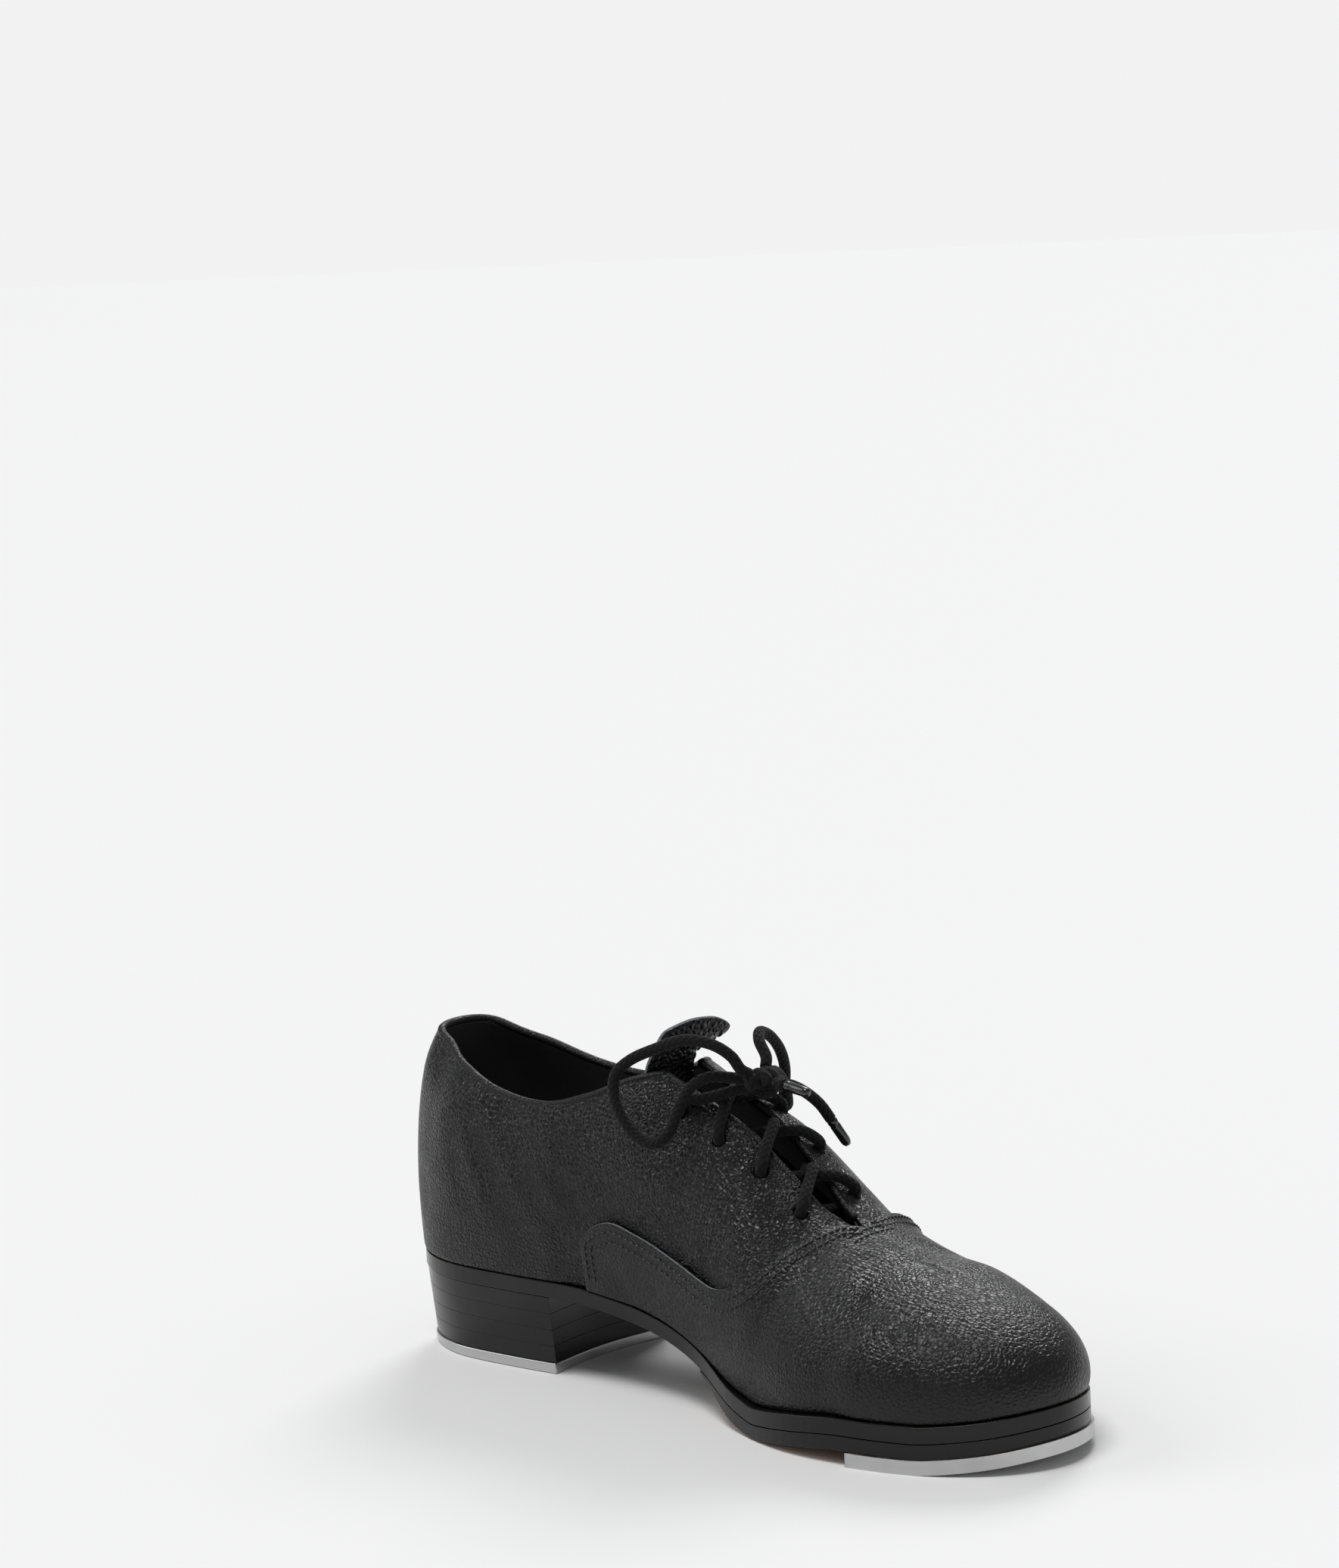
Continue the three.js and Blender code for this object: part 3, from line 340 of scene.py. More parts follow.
@dataclass(frozen=True)
class PebbledLeather(Finish):
    """Satin leather with a pebbled grain and fine flex wrinkles."""

    grain_mm: float = 1.5
    depth_mm: float = 0.16
    wrinkle: float = 0.5

    def make(self) -> bpy.types.Material:
        """The finished material."""
        material, tree, shader = self.begin()
        p = Pattern(tree)
        plain = p.mapped((1, 1, 1))
        pebbles = p.spread(p.cells(plain, 1000 / self.grain_mm), (0.0, 0.32), (0.0, 1.0))
        fine = p.noise(plain, 1900, 2)
        folds = p.spread(p.cells(p.mapped((430, 120, 170)), 1.0), (0.0, 0.12), (0.0, 1.0))
        soft = p.noise(plain, 45, 2)
        first = p.bump(soft, 0.9, 0.35)
        second = p.bump(folds, 0.16, self.wrinkle, first)
        third = p.bump(fine, 0.06, 0.3, second)
        p.link(p.bump(pebbles, self.depth_mm, 0.6, third), shader.inputs["Normal"])
        self.shade(p, shader, pebbles, (0, 0.5), 0.62)
        worn = p.noise(plain, 60, 4)
        p.link(
            p.spread(worn, (0.35, 0.7), (self.roughness - 0.06, self.roughness + 0.1)),
            shader.inputs["Roughness"],
        )
        return material


@dataclass(frozen=True)
class RawEdge(Finish):
    """A cut edge of leather, fibrous and paler than its face."""

    def make(self) -> bpy.types.Material:
        """The finished material."""
        material, tree, shader = self.begin()
        p = Pattern(tree)
        fibres = p.noise(p.mapped((1, 1, 1)), 1500, 5)
        self.shade(p, shader, fibres, (0.35, 0.65), 0.45)
        p.link(p.bump(fibres, 0.15, 0.6), shader.inputs["Normal"])
        return material


@dataclass(frozen=True)
class PolishedEdge(Finish):
    """Painted and burnished sole leather with faint lines along the layers."""

    def make(self) -> bpy.types.Material:
        """The finished material."""
        material, tree, shader = self.begin()
        p = Pattern(tree)
        layers = p.noise(p.mapped((14, 14, 900)), 1.0, 4)
        patches = p.noise(p.mapped((1, 1, 1)), 70, 3)
        first = p.bump(layers, 0.12, 0.25)
        p.link(p.bump(patches, 0.3, 0.12, first), shader.inputs["Normal"])
        p.link(
            p.spread(patches, (0.3, 0.7), (self.roughness * 0.75, self.roughness * 1.5)),
            shader.inputs["Roughness"],
        )
        return material


@dataclass(frozen=True)
class SoleFace(Finish):
    """The walking side of the sole leather, with fine scuffs."""

    def make(self) -> bpy.types.Material:
        """The finished material."""
        material, tree, shader = self.begin()
        p = Pattern(tree)
        grain = p.noise(p.mapped((1, 1, 1)), 500, 6)
        scuffs = p.noise(p.mapped((60, 500, 60)), 1.0, 4)
        self.shade(p, shader, scuffs, (0.3, 0.7), 0.6)
        p.link(p.bump(grain, 0.12, 0.4), shader.inputs["Normal"])
        return material


@dataclass(frozen=True)
class TapMetal(Finish):
    """Cast and tumbled aluminium, softly satin, with fine scratches."""

    def make(self) -> bpy.types.Material:
        """The finished material."""
        material, tree, shader = self.begin()
        p = Pattern(tree)
        scratches = p.noise(p.mapped((200, 2600, 200)), 1.0, 3)
        pits = p.noise(p.mapped((1, 1, 1)), 900, 3)
        p.link(p.bump(scratches, 0.03, 0.3, p.bump(pits, 0.05, 0.3)), shader.inputs["Normal"])
        worn = p.noise(p.mapped((1, 1, 1)), 120, 4)
        span = (self.roughness - 0.08, self.roughness + 0.12)
        p.link(p.spread(worn, (0.3, 0.7), span), shader.inputs["Roughness"])
        return material


@dataclass(frozen=True)
class Braid(Finish):
    """A round braided cotton lace, patterned along its own length."""

    strands: float = 7.0

    def make(self) -> bpy.types.Material:
        """The finished material."""
        material, tree, shader = self.begin()
        p = Pattern(tree, "UV")
        weave = p.cells(p.mapped((self.strands, self.strands, 1), math.pi / 4), 1.0, 0.0, False)
        raised = p.spread(weave, (0.1, 0.62), (1.0, 0.0))
        dark = tuple(c * 0.35 for c in self.colour)
        p.link(p.mix(raised, dark, self.colour), shader.inputs["Base Color"])
        threads = p.noise(p.mapped((90, 30, 1)), 1.0, 3)
        p.link(p.bump(raised, 0.35, 0.9, p.bump(threads, 0.1, 0.4)), shader.inputs["Normal"])
        return material


@dataclass(frozen=True)
class Woven(Finish):
    """Plain woven lining cloth or the flesh side of lining leather."""

    threads: float = 1400.0

    def make(self) -> bpy.types.Material:
        """The finished material."""
        material, tree, shader = self.begin()
        p = Pattern(tree)
        nap = p.noise(p.mapped((1, 1, 1)), self.threads, 4)
        broad = p.noise(p.mapped((1, 1, 1)), 40, 3)
        self.shade(p, shader, broad, (0.3, 0.7), 0.6)
        p.link(p.bump(nap, 0.12, 0.5), shader.inputs["Normal"])
        return material


class Wardrobe:
    """Every finish of the shoe, made once."""

    def __init__(self) -> None:
        """Makes the materials."""
        black = (0.0062, 0.0062, 0.0068)
        self.quarter = PebbledLeather(
            "quarter_leather", black, 0.33, shine=0.34, depth_mm=0.46
        ).make()
        self.vamp = PebbledLeather(
            "vamp_leather", black, 0.34, shine=0.36, depth_mm=0.26, wrinkle=0.4
        ).make()
        self.tongue = PebbledLeather(
            "tongue_leather", black, 0.3, shine=0.36, grain_mm=2.0, depth_mm=0.7
        ).make()
        self.bead = PebbledLeather(
            "turned_edge_leather", black, 0.38, shine=0.28, grain_mm=1.1
        ).make()
        self.raw = RawEdge("cut_leather_edge", (0.2, 0.205, 0.215), 0.85).make()
        self.flesh = Woven("leather_flesh_side", (0.035, 0.034, 0.034), 0.9, sheen=0.15).make()
        self.lining = Woven("lining_leather", (0.03, 0.03, 0.031), 0.75).make()
        self.sock = Woven("sock_leather", (0.055, 0.052, 0.05), 0.6, threads=900).make()
        self.edge = PolishedEdge(
            "painted_sole_edge", (0.004, 0.004, 0.004), 0.24, coat=0.12, shine=0.3
        ).make()
        self.heel = PolishedEdge(
            "painted_heel_lifts", (0.004, 0.004, 0.0045), 0.22, coat=0.12, shine=0.3
        ).make()
        self.sole = SoleFace("brown_sole_leather", (0.27, 0.15, 0.075), 0.6).make()
        self.tap = TapMetal("tap_aluminium", (0.56, 0.56, 0.565), 0.36, metallic=1.0).make()
        self.steel = TapMetal("screw_steel", (0.5, 0.5, 0.5), 0.3, metallic=1.0).make()
        self.board = Woven("fibre_board", (0.36, 0.27, 0.17), 0.9).make()
        self.cork = SoleFace("cork_sheet", (0.3, 0.19, 0.1), 0.95).make()
        self.lace = Braid("braided_lace", (0.006, 0.006, 0.0065), 0.8, sheen=0.06, shine=0.2).make()
        self.tip = Finish("lace_tip_plastic", (0.008, 0.008, 0.009), 0.16, coat=0.5).make()
        self.thread = Woven("sewing_thread", (0.004, 0.004, 0.0045), 0.3, shine=0.7).make()


# ---------------------------------------------------------------- the foot's shape


@dataclass
class Last:
    """The foot form that the upper is pulled over, and the sole line under it."""

    length: float = 268.0
    ball: float = 92.0
    seat: float = 31.5
    collar: float = 74.5
    side: float = 58.0
    instep: float = 77.0
    throat_rise: float = 49.0
    toe: float = 22.0
    spring: float = 4.6
    outsole: float = 5.2
    half_sole: float = 4.4
    toe_tap: float = 4.4
    heel_centre: float = 0.116
    toe_centre: float = 0.815
    heel_fan: float = 29.0
    toe_fan: float = 40.0
    lining: float = 0.9
    gap: float = 0.45
    leather: float = 1.3
    edge_knots: Pairs = (
        (0.006, 0), (0.026, -0.2), (0.1, -0.312), (0.205, -0.308), (0.317, -0.27), (0.41, -0.25),
        (0.505, -0.278), (0.605, -0.38), (0.70, -0.452), (0.79, -0.44), (0.88, -0.364),
        (0.948, -0.217), (0.977, -0.022), (0.951, 0.185), (0.88, 0.337), (0.776, 0.45),
        (0.67, 0.488), (0.567, 0.446), (0.455, 0.364), (0.343, 0.315), (0.216, 0.32),
        (0.1, 0.31), (0.026, 0.2),
    )
    rays: dict[float, tuple[Vector, Vector, float]] = field(default_factory=dict)

    def __post_init__(self) -> None:
        """Works out the curves and the outline."""
        c, i, t = self.collar, self.instep, self.throat_rise
        self.build = self.outsole + self.half_sole + 0.2
        self.ball_top = 0.4 + self.build
        self.tap_seat = self.toe_tap + 0.2 + self.build
        self.drop = Knots((
            (0, 1.03), (0.1, 1.019), (0.2, 1.008), (0.27, 1), (0.285, 0.998), (0.33, 0.955),
            (0.44, 0.72), (0.53, 0.38), (0.59, 0.12), (0.635, 0.01), (0.66, 0), (1, 0),
        ))
        self.rise_to_tap = Knots((
            (0, 0), (0.62, 0), (0.64, 0.01), (0.71, 0.56), (0.765, 0.95), (0.79, 1), (0.81, 1),
            (1, 1),
        ))
        self.turn_up = Knots(((0, 0), (0.85, 0), (0.875, 0), (0.94, 0.42), (1, 1.1)))
        self.ridge = Knots((
            (0, c * 1.36), (0.03, c * 1.33), (0.075, c * 1.14), (0.12, c * 1.1), (0.2, c * 1.11),
            (0.3, c * 1.11), (0.38, i * 1.04), (0.42, i * 0.995), (0.48, i * 0.96),
            (0.54, i * 0.925), (0.6, i * 0.83), (0.65, t * 1.1), (0.7, t * 0.925),
            (0.76, t * 0.79), (0.84, t * 0.675), (0.9, self.toe * 1.38),
            (0.96, self.toe * 1.2), (1, self.toe),
        ))
        self.inner_full = Knots((
            (0, 5.5), (0.014, 5.5), (0.04, 2.8), (0.1, 3.4), (0.25, 5.5), (0.38, 7), (0.46, 5.5),
            (0.55, 3.5), (0.64, 3), (0.8, 4), (1, 4.5),
        ))
        self.outer_full = Knots((
            (0, 5.5), (0.014, 5.5), (0.04, 3.2), (0.1, 4), (0.25, 6.5), (0.38, 7.5), (0.46, 6),
            (0.55, 4), (0.64, 3.5), (0.8, 4.5), (1, 4.5),
        ))
        self.heel_x = self.length * self.heel_centre
        self.toe_x = self.length * self.toe_centre
        self.run = self.toe_x - self.heel_x
        self.heel_arc = self.heel_fan * math.pi / 2
        self.toe_arc = self.toe_fan * math.pi
        self.round = 2 * self.heel_arc + 2 * self.run + self.toe_arc
        self.layers = self.lining + self.gap + self.leather
        self.outline = self._outline(6)
        self.feather = self.grown(lambda x: -2.2)

    def _outline(self, steps: int) -> list[Vector]:
        """The closed outline of the foot seen from above."""
        k = [Vector((x * self.length, y * self.ball, 0)) for x, y in self.edge_knots]
        out = []
        for n in range(len(k)):
            a, b, c, d = (k[(n + j) % len(k)] for j in (-1, 0, 1, 2))
            for s in range(steps):
                t = s / steps
                out.append(
                    0.5 * ((2 * b) + (c - a) * t + (2 * a - 5 * b + 4 * c - d) * t * t
                           + (3 * b - a - 3 * c + d) * t**3)
                )
        return out

    def grown(self, grow: Along) -> list[Vector]:
        """The outline moved outwards by a distance that may change along the shoe."""
        n, out = len(self.outline), []
        for i, p in enumerate(self.outline):
            way = (self.outline[(i + 1) % n] - self.outline[i - 1]).normalized()
            out.append(Vector((p.x + way.y * grow(p.x), p.y - way.x * grow(p.x), 0)))
        return out

    def sole_top(self, x: float) -> float:
        """Height of the sole's upper face."""
        f = x / self.length
        return (
            self.ball_top
            + (self.seat - self.ball_top) * self.drop(f)
            + (self.tap_seat - self.ball_top) * self.rise_to_tap(f)
            + self.spring * max(0.0, self.turn_up(f))
        )

    def ray(self, distance: float) -> tuple[Vector, Vector, float]:
        """The ray at a distance round the last: its start, direction and reach."""
        key = round(distance % self.round, 4)
        if key in self.rays:
            return self.rays[key]
        d, h, t = key, self.heel_fan, self.toe_fan
        if d < self.heel_arc:
            start, way = Vector((self.heel_x, 0)), Vector((-math.cos(d / h), -math.sin(d / h)))
        elif d < self.heel_arc + self.run:
            start, way = Vector((self.heel_x + d - self.heel_arc, 0)), Vector((0, -1))
        elif d < self.heel_arc + self.run + self.toe_arc:
            a = (d - self.heel_arc - self.run) / t
            start, way = Vector((self.toe_x, 0)), Vector((math.sin(a), -math.cos(a)))
        elif d < self.round - self.heel_arc:
            back = d - self.heel_arc - self.run - self.toe_arc
            start, way = Vector((self.toe_x - back, 0)), Vector((0, 1))
        else:
            a = (d - self.round + self.heel_arc) / h
            start, way = Vector((self.heel_x, 0)), Vector((-math.sin(a), math.cos(a)))
        best = 1e9
        for p, q in zip(self.feather, self.feather[1:] + self.feather[:1]):
            a, b = p.xy - start, q.xy - start
            sa, sb = way.x * a.y - way.y * a.x, way.x * b.y - way.y * b.x
            if sa * sb > 0 or sa == sb:
                continue
            hit = a.lerp(b, sa / (sa - sb)).dot(way)
            if hit > 0:
                best = min(best, hit)
        self.rays[key] = (start, way, best)
        return self.rays[key]

    def point(self, distance: float, share: float) -> Vector:
        """A point of the last.

        Args:
            distance: The distance round, from the heel back along the inner side.
            share: The height share, 0 at the feather line and 1 at the ridge.

        Returns:
            The point in millimetres.
        """
        start, way, reach = self.ray(distance)
        turn = share * math.pi / 2
        outer = 0.5 + 0.5 * way.y
        f = (start.x + way.x * reach) / self.length
        full = self.inner_full(f) * (1 - outer) + self.outer_full(f) * outer
        out = reach * math.cos(turn) + full * math.sin(2 * turn)
        x = start.x + way.x * out
        rise = self.ridge(x / self.length) - self.layers
        return Vector((x, start.y + way.y * out, self.sole_top(x) + 0.3 + rise * math.sin(turn)))

    def normal(self, distance: float, share: float) -> Vector:
        """The outward direction of the last, level along the ridge."""
        h = min(max(share, 0.006), 0.993)
        along = self.point(distance + 0.5, h) - self.point(distance - 0.5, h)
        up = self.point(distance, h + 0.005) - self.point(distance, h - 0.005)
        n = along.cross(up).normalized()
        n.z = max(0.0, n.z)
        near = ease((share - 0.86) / 0.13)
        if near > 0:
            x = self.ray(distance)[0].x
            slope = (self.ridge((x + 2) / self.length) + self.sole_top(x + 2)
                     - self.ridge((x - 2) / self.length) - self.sole_top(x - 2)) / 4
            n = n.normalized() * (1 - near) + Vector((-slope, 0, 1)).normalized() * near
        return n.normalized()

    def off(self, distance: float, share: float, height: float) -> Vector:
        """A point at a height off the last, kept above the sole."""
        p = self.point(distance, share) + self.normal(distance, share) * height
        p.z = max(p.z, self.sole_top(p.x) + 0.3)
        return p

    def way(self, side: Side, x: float) -> float:
        """The distance round of the side ray at an axis station."""
        if side is Side.INNER:
            return self.heel_arc + x - self.heel_x
        return self.round - self.heel_arc - (x - self.heel_x)

    def station(self, distance: float) -> float:
        """The axis station where a ray starts."""
        return self.ray(distance)[0].x

    def side_of(self, distance: float) -> Side:
        """The side of the shoe that a ray is on."""
        return Side.INNER if distance % self.round < self.round / 2 else Side.OUTER

    def share_beside(self, distance: float, side: float) -> float:
        """The height share at a sideways distance from the ridge line."""
        low, high = 0.45, 1.0
        for _ in range(26):
            mid = (low + high) / 2
            if abs(self.point(distance, mid).y) > abs(side):
                low = mid
            else:
                high = mid
        return high

    def beside(self, x: float, side: float, height: float) -> Vector:
        """A point off the last, from its station and its distance sideways."""
        d = self.way(Side.INNER if side < 0 else Side.OUTER, x)
        share = self.share_beside(d, side)
        h = min(max(share, 0.004), 0.995)
        along = self.point(d + 0.4, h) - self.point(d - 0.4, h)
        n = along.cross(self.point(d, h + 0.004) - self.point(d, h - 0.004)).normalized()
        n.z = max(0.0, n.z)
        if abs(side) < 4:
            n.y *= abs(side) / 4
        return self.point(d, share) + n.normalized() * height

    def section(self, distance: float) -> float:
        """The length of the upright section at a ray."""
        marks = [self.point(distance, i / 12) for i in range(13)]
        return sum((b - a).length for a, b in zip(marks, marks[1:]))


@dataclass
class Seams:
    """Where the pieces of the upper end."""

    last: Last
    under: float = 12.0

    def __post_init__(self) -> None:
        """Works out the stations and curves of the seams."""
        n, s, i, c = self.last.length, self.last.side, self.last.instep, self.last.collar
        self.collar_end = n * 0.412
        self.throat = n * 0.682
        self.vamp_rear = {Side.INNER: n * 0.328, Side.OUTER: n * 0.342}
        self.line = Knots((
            (0, c), (0.03, c * 0.985), (0.1, (c + s) / 2), (0.18, s * 1.03), (0.27, s),
            (0.33, s * 1.085), (0.38, i * 0.91), (0.412, i * 0.955),
        ))
        self.wing = Knots(((0, 17), (0.015, 22), (0.05, 27), (0.09, 26.5), (0.16, 25.2), (0.22, 26),
                           (0.262, 30.5), (0.3, 38), (0.33, 44), (0.352, 51)))
        self.facing = Knots(((0.4, 7.6), (0.5, 6.8), (0.6, 6.1), (0.65, 4.2), (0.682, 1)))
        self.split = (n * 0.45, n * 0.69)
        self.kept: dict[tuple[str, float], float] = {}

    def vamp_edge(self, distance: float) -> float:
        """Height share of the vamp's upper edge."""
        x = self.last.station(distance)
        if x >= self.throat:
            return 1.0
        ahead = max(0.0, (x - self.throat + 16) / 16)
        run = (x - self.vamp_rear[self.last.side_of(distance)]) / self.last.length
        rise = self.last.ridge(x / self.last.length) - self.last.layers
        level = self.wing(max(run, 0.0))
        share = min(2 / math.pi * math.asin(clamp01((level - 0.3) / rise)), 0.86)
        return share + (1 - share) * (1 - math.sqrt(1 - ahead**2))

    def quarter_top(self, distance: float) -> float:
        """Height share of a quarter's upper edge: topline, then facing."""
        key = ("top", round(distance % self.last.round, 4))
        if key not in self.kept:
            x = self.last.station(distance)
            if x < self.collar_end:
                low, high = 0.2, 0.85
                for _ in range(22):
                    mid = (low + high) / 2
                    p = self.last.point(distance, mid)
                    if p.z - self.last.sole_top(p.x) < self.line(p.x / self.last.length):
                        low = mid
                    else:
                        high = mid
                self.kept[key] = high
            else:
                gap = self.facing(min(x, self.throat) / self.last.length)
                self.kept[key] = self.last.share_beside(distance, gap)
        return self.kept[key]

    def quarter_low(self, distance: float) -> float:
        """Height share of a quarter's lower edge, under the vamp in front."""
        x = self.last.station(distance)
        if x < self.vamp_rear[self.last.side_of(distance)] + self.under:
            return 0.0
        edge = min(self.vamp_edge(distance), self.quarter_top(distance))
        return max(0.0, edge - self.under / self.last.section(distance))

    def overlap(self, distance: float, share: float) -> float:
        """How far the vamp is lifted over the quarter, from 0 to 1."""
        x = self.last.station(distance)
        below = max(0.0, (self.vamp_edge(distance) - share) * self.last.section(distance))
        ahead = max(0.0, x - self.vamp_rear[self.last.side_of(distance)])
        past = max(0.0, x - self.throat)
        depth = min(below, ahead) + past * (0.8 if below < past else 0.4)
        return 1 - ease((depth - 6) / 26)

    def counter(self, distance: float, share: float) -> float:
        """Room left for the heel counter, from 0 to 1."""
        x = self.last.point(distance, share).x
        return (1 - ease((x - self.last.length * 0.27) / 12)) * (1 - ease((share - 0.43) / 0.14))

    def puff(self, distance: float, share: float) -> float:
        """Room left for the toe puff, from 0 to 1."""
        return ease((self.last.point(distance, share).x - self.last.length * 0.8 + 12) / 12)


# ---------------------------------------------------------------- mesh helpers


def shown(
    name: str, bm: bmesh.types.BMesh, materials: Iterable[bpy.types.Material]
) -> bpy.types.Object:
    """An object from a mesh made in millimetres of the drawing.

    Args:
        name: The piece's name.
        bm: The mesh, which is used up.
        materials: Its materials in slot order.

    Returns:
        The new object, at the origin and in metres.
    """
    for v in bm.verts:
        v.co = metres(v.co)
    mesh = bpy.data.meshes.new(name)
    for f in bm.faces:
        f.smooth = True
    bm.to_mesh(mesh)
    bm.free()
    for material in materials:
        mesh.materials.append(material)
    obj = bpy.data.objects.new(name, mesh)
    bpy.context.scene.collection.objects.link(obj)
    return obj


def baked(obj: bpy.types.Object) -> bpy.types.Object:
    """The object with its modifiers made part of its mesh."""
    bpy.context.view_layer.update()
    seen = obj.evaluated_get(bpy.context.evaluated_depsgraph_get())
    mesh = bpy.data.meshes.new_from_object(seen)
    obj.modifiers.clear()
    obj.data = mesh
    return obj


def walled(obj: bpy.types.Object, thick: float, rim: int = 1, inner: int = 0) -> bpy.types.Object:
    """Gives a sheet its thickness inwards and smooths it.

    Args:
        obj: A sheet whose faces point outwards.
        thick: The thickness in millimetres.
        rim: The material slot of the edge, counted from the face's.
        inner: The material slot of the inner face, counted likewise.

    Returns:
        The same object as a closed wall.
    """
    solid = obj.modifiers.new("thickness", "SOLIDIFY")
    solid.thickness = thick * MM
    solid.offset = -1
    solid.use_quality_normals = True
    solid.material_offset = inner
    solid.material_offset_rim = rim
    solid.edge_crease_rim = 0.55
    rounded = obj.modifiers.new("smooth", "SUBSURF")
    rounded.levels = rounded.render_levels = 1
    return baked(obj)


def stitching(
    name: str, rows: Iterable[Sequence[Vector]], pitch: float, thread: bpy.types.Material, body: str
) -> None:
    """Rows of short stitches pressed into the leather.

    Args:
        name: The piece's name.
        rows: Lines of close points.
        pitch: The stitch pitch.
        thread: The thread's finish.
        body: The body that the rows ride on.
    """
    bm = bmesh.new()
    for row in rows:
        marks = spaced(row, pitch)
        for a, b in zip(marks, marks[1:]):
            if (b - a).length < 0.5:
                continue
            turn = (b - a).to_track_quat("X", "Z").to_matrix().to_4x4()
            long = (b - a).length * STITCH_SHARE
            size = Matrix.Diagonal((long, STITCH_RADIUS, STITCH_RADIUS, 1))
            bmesh.ops.create_uvsphere(bm, u_segments=6, v_segments=4, radius=1,
                                      matrix=Matrix.Translation((a + b) / 2) @ turn @ size)
    report(shown(name, bm, [thread]), [], body)


def sheet(
    name: str,
    last: Last,
    span: tuple[float, float],
    low: Along,
    high: Along,
    height: Callable[[float, float], float],
    materials: Sequence[bpy.types.Material],
    pitch: float = 2.6,
    rows: int = 26,
) -> bpy.types.Object:
    """A sheet over the last between two edges.

    Args:
        name: The piece's name.
        last: The form that it lies on.
        span: First and last distance round.
        low: Height share of the lower edge.
        high: Height share of the upper edge.
        height: Height off the last at a distance and share.
        materials: The materials in slot order.
        pitch: Distance between columns.
        rows: Number of faces from edge to edge.

    Returns:
        The open sheet, its faces outwards.
    """
    columns = max(4, round((span[1] - span[0]) / pitch))
    bm = bmesh.new()
    bmesh.ops.create_grid(bm, x_segments=columns, y_segments=rows, size=1.0)
    uv = bm.loops.layers.uv.new("UVMap")
    chart: dict[int, tuple[float, float]] = {}
    bm.verts.ensure_lookup_table()
    for v in bm.verts:
        d = span[0] + (span[1] - span[0]) * (v.co.x + 1) / 2
        a, b = low(d), high(d)
        share = a + (b - a) * (v.co.y + 1) / 2
        chart[v.index] = (d / 100, share * last.section(d) / 100)
        v.co = last.off(d, share, height(d, share))
    for f in bm.faces:
        for loop in f.loops:
            loop[uv].uv = chart[loop.vert.index]
    bmesh.ops.remove_doubles(bm, verts=bm.verts, dist=0.02)
    bmesh.ops.dissolve_degenerate(bm, edges=bm.edges, dist=0.005)
    bm.normal_update()
    lean = 0.0
    middle = Vector((last.length / 2, 0, 20))
    for f in bm.faces:
        out = f.calc_center_median() - middle
        lean += f.normal.dot(Vector((out.x * 0.2, out.y, out.z))) * f.calc_area()
    if lean < 0:
        bmesh.ops.reverse_faces(bm, faces=bm.faces)
    return shown(name, bm, materials)


def tube(
    name: str,
    line: Sequence[Vector],
    diameter: float,
    material: bpy.types.Material,
    sides: int = 14,
    flat: float = 1.0,
) -> bpy.types.Object:
    """A round tube along a line, with a chart that runs along it.

    Args:
        name: The piece's name.
        line: Close points along the middle, in millimetres.
        diameter: The diameter.
        material: The finish.
        sides: Faces round the tube.
        flat: Width across over height.

    Returns:
        The tube as a closed mesh.
    """
    bm = bmesh.new()
    uv = bm.loops.layers.uv.new("UVMap")
    final = len(line) - 1
    ways = [(line[min(i + 1, final)] - line[max(i - 1, 0)]).normalized() for i in range(final + 1)]
    across = ways[0].orthogonal().normalized()
    rings, run, runs = [], 0.0, []
    for i, (p, way) in enumerate(zip(line, ways)):
        across = (across - way * across.dot(way)).normalized()
        other = way.cross(across)
        turn = Matrix((across, other, way)).transposed().to_4x4()
        if i:
            run += (p - line[i - 1]).length
        runs.append(run)
        place = Matrix.Translation(p) @ turn @ Matrix.Diagonal((1, flat, 1, 1))
        made = bmesh.ops.create_circle(
            bm, cap_ends=False, segments=sides, radius=diameter / 2, matrix=place
        )
        rings.append(made["verts"])
    girth = math.pi * diameter
    for i in range(len(rings) - 1):
        for j in range(sides):
            k = (j + 1) % sides
            f = bm.faces.new((rings[i][j], rings[i][k], rings[i + 1][k], rings[i + 1][j]))
            for loop, (u, v) in zip(f.loops, ((i, j), (i, j + 1), (i + 1, j + 1), (i + 1, j))):
                loop[uv].uv = (runs[u] / girth, v / sides)
    for ring in (rings[0], rings[-1]):
        rim = {e for v in ring for e in v.link_edges if e.is_boundary}
        bmesh.ops.contextual_create(bm, geom=list(rim))
    bmesh.ops.recalc_face_normals(bm, faces=bm.faces)
    return shown(name, bm, [material])


def report(
    obj: bpy.types.Object, nodes: Sequence[str], body: str = ROOT
) -> bpy.types.Object:
    """Puts a piece on its body, names what it stands for and reports it."""
    if "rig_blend" not in obj:
        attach(obj, body)
    if nodes:
        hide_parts(*nodes)
    LOG.info("%s: %d faces for %s", obj.name, len(obj.data.polygons), ", ".join(nodes) or "trim")
    return obj


# ---------------------------------------------------------------- camera


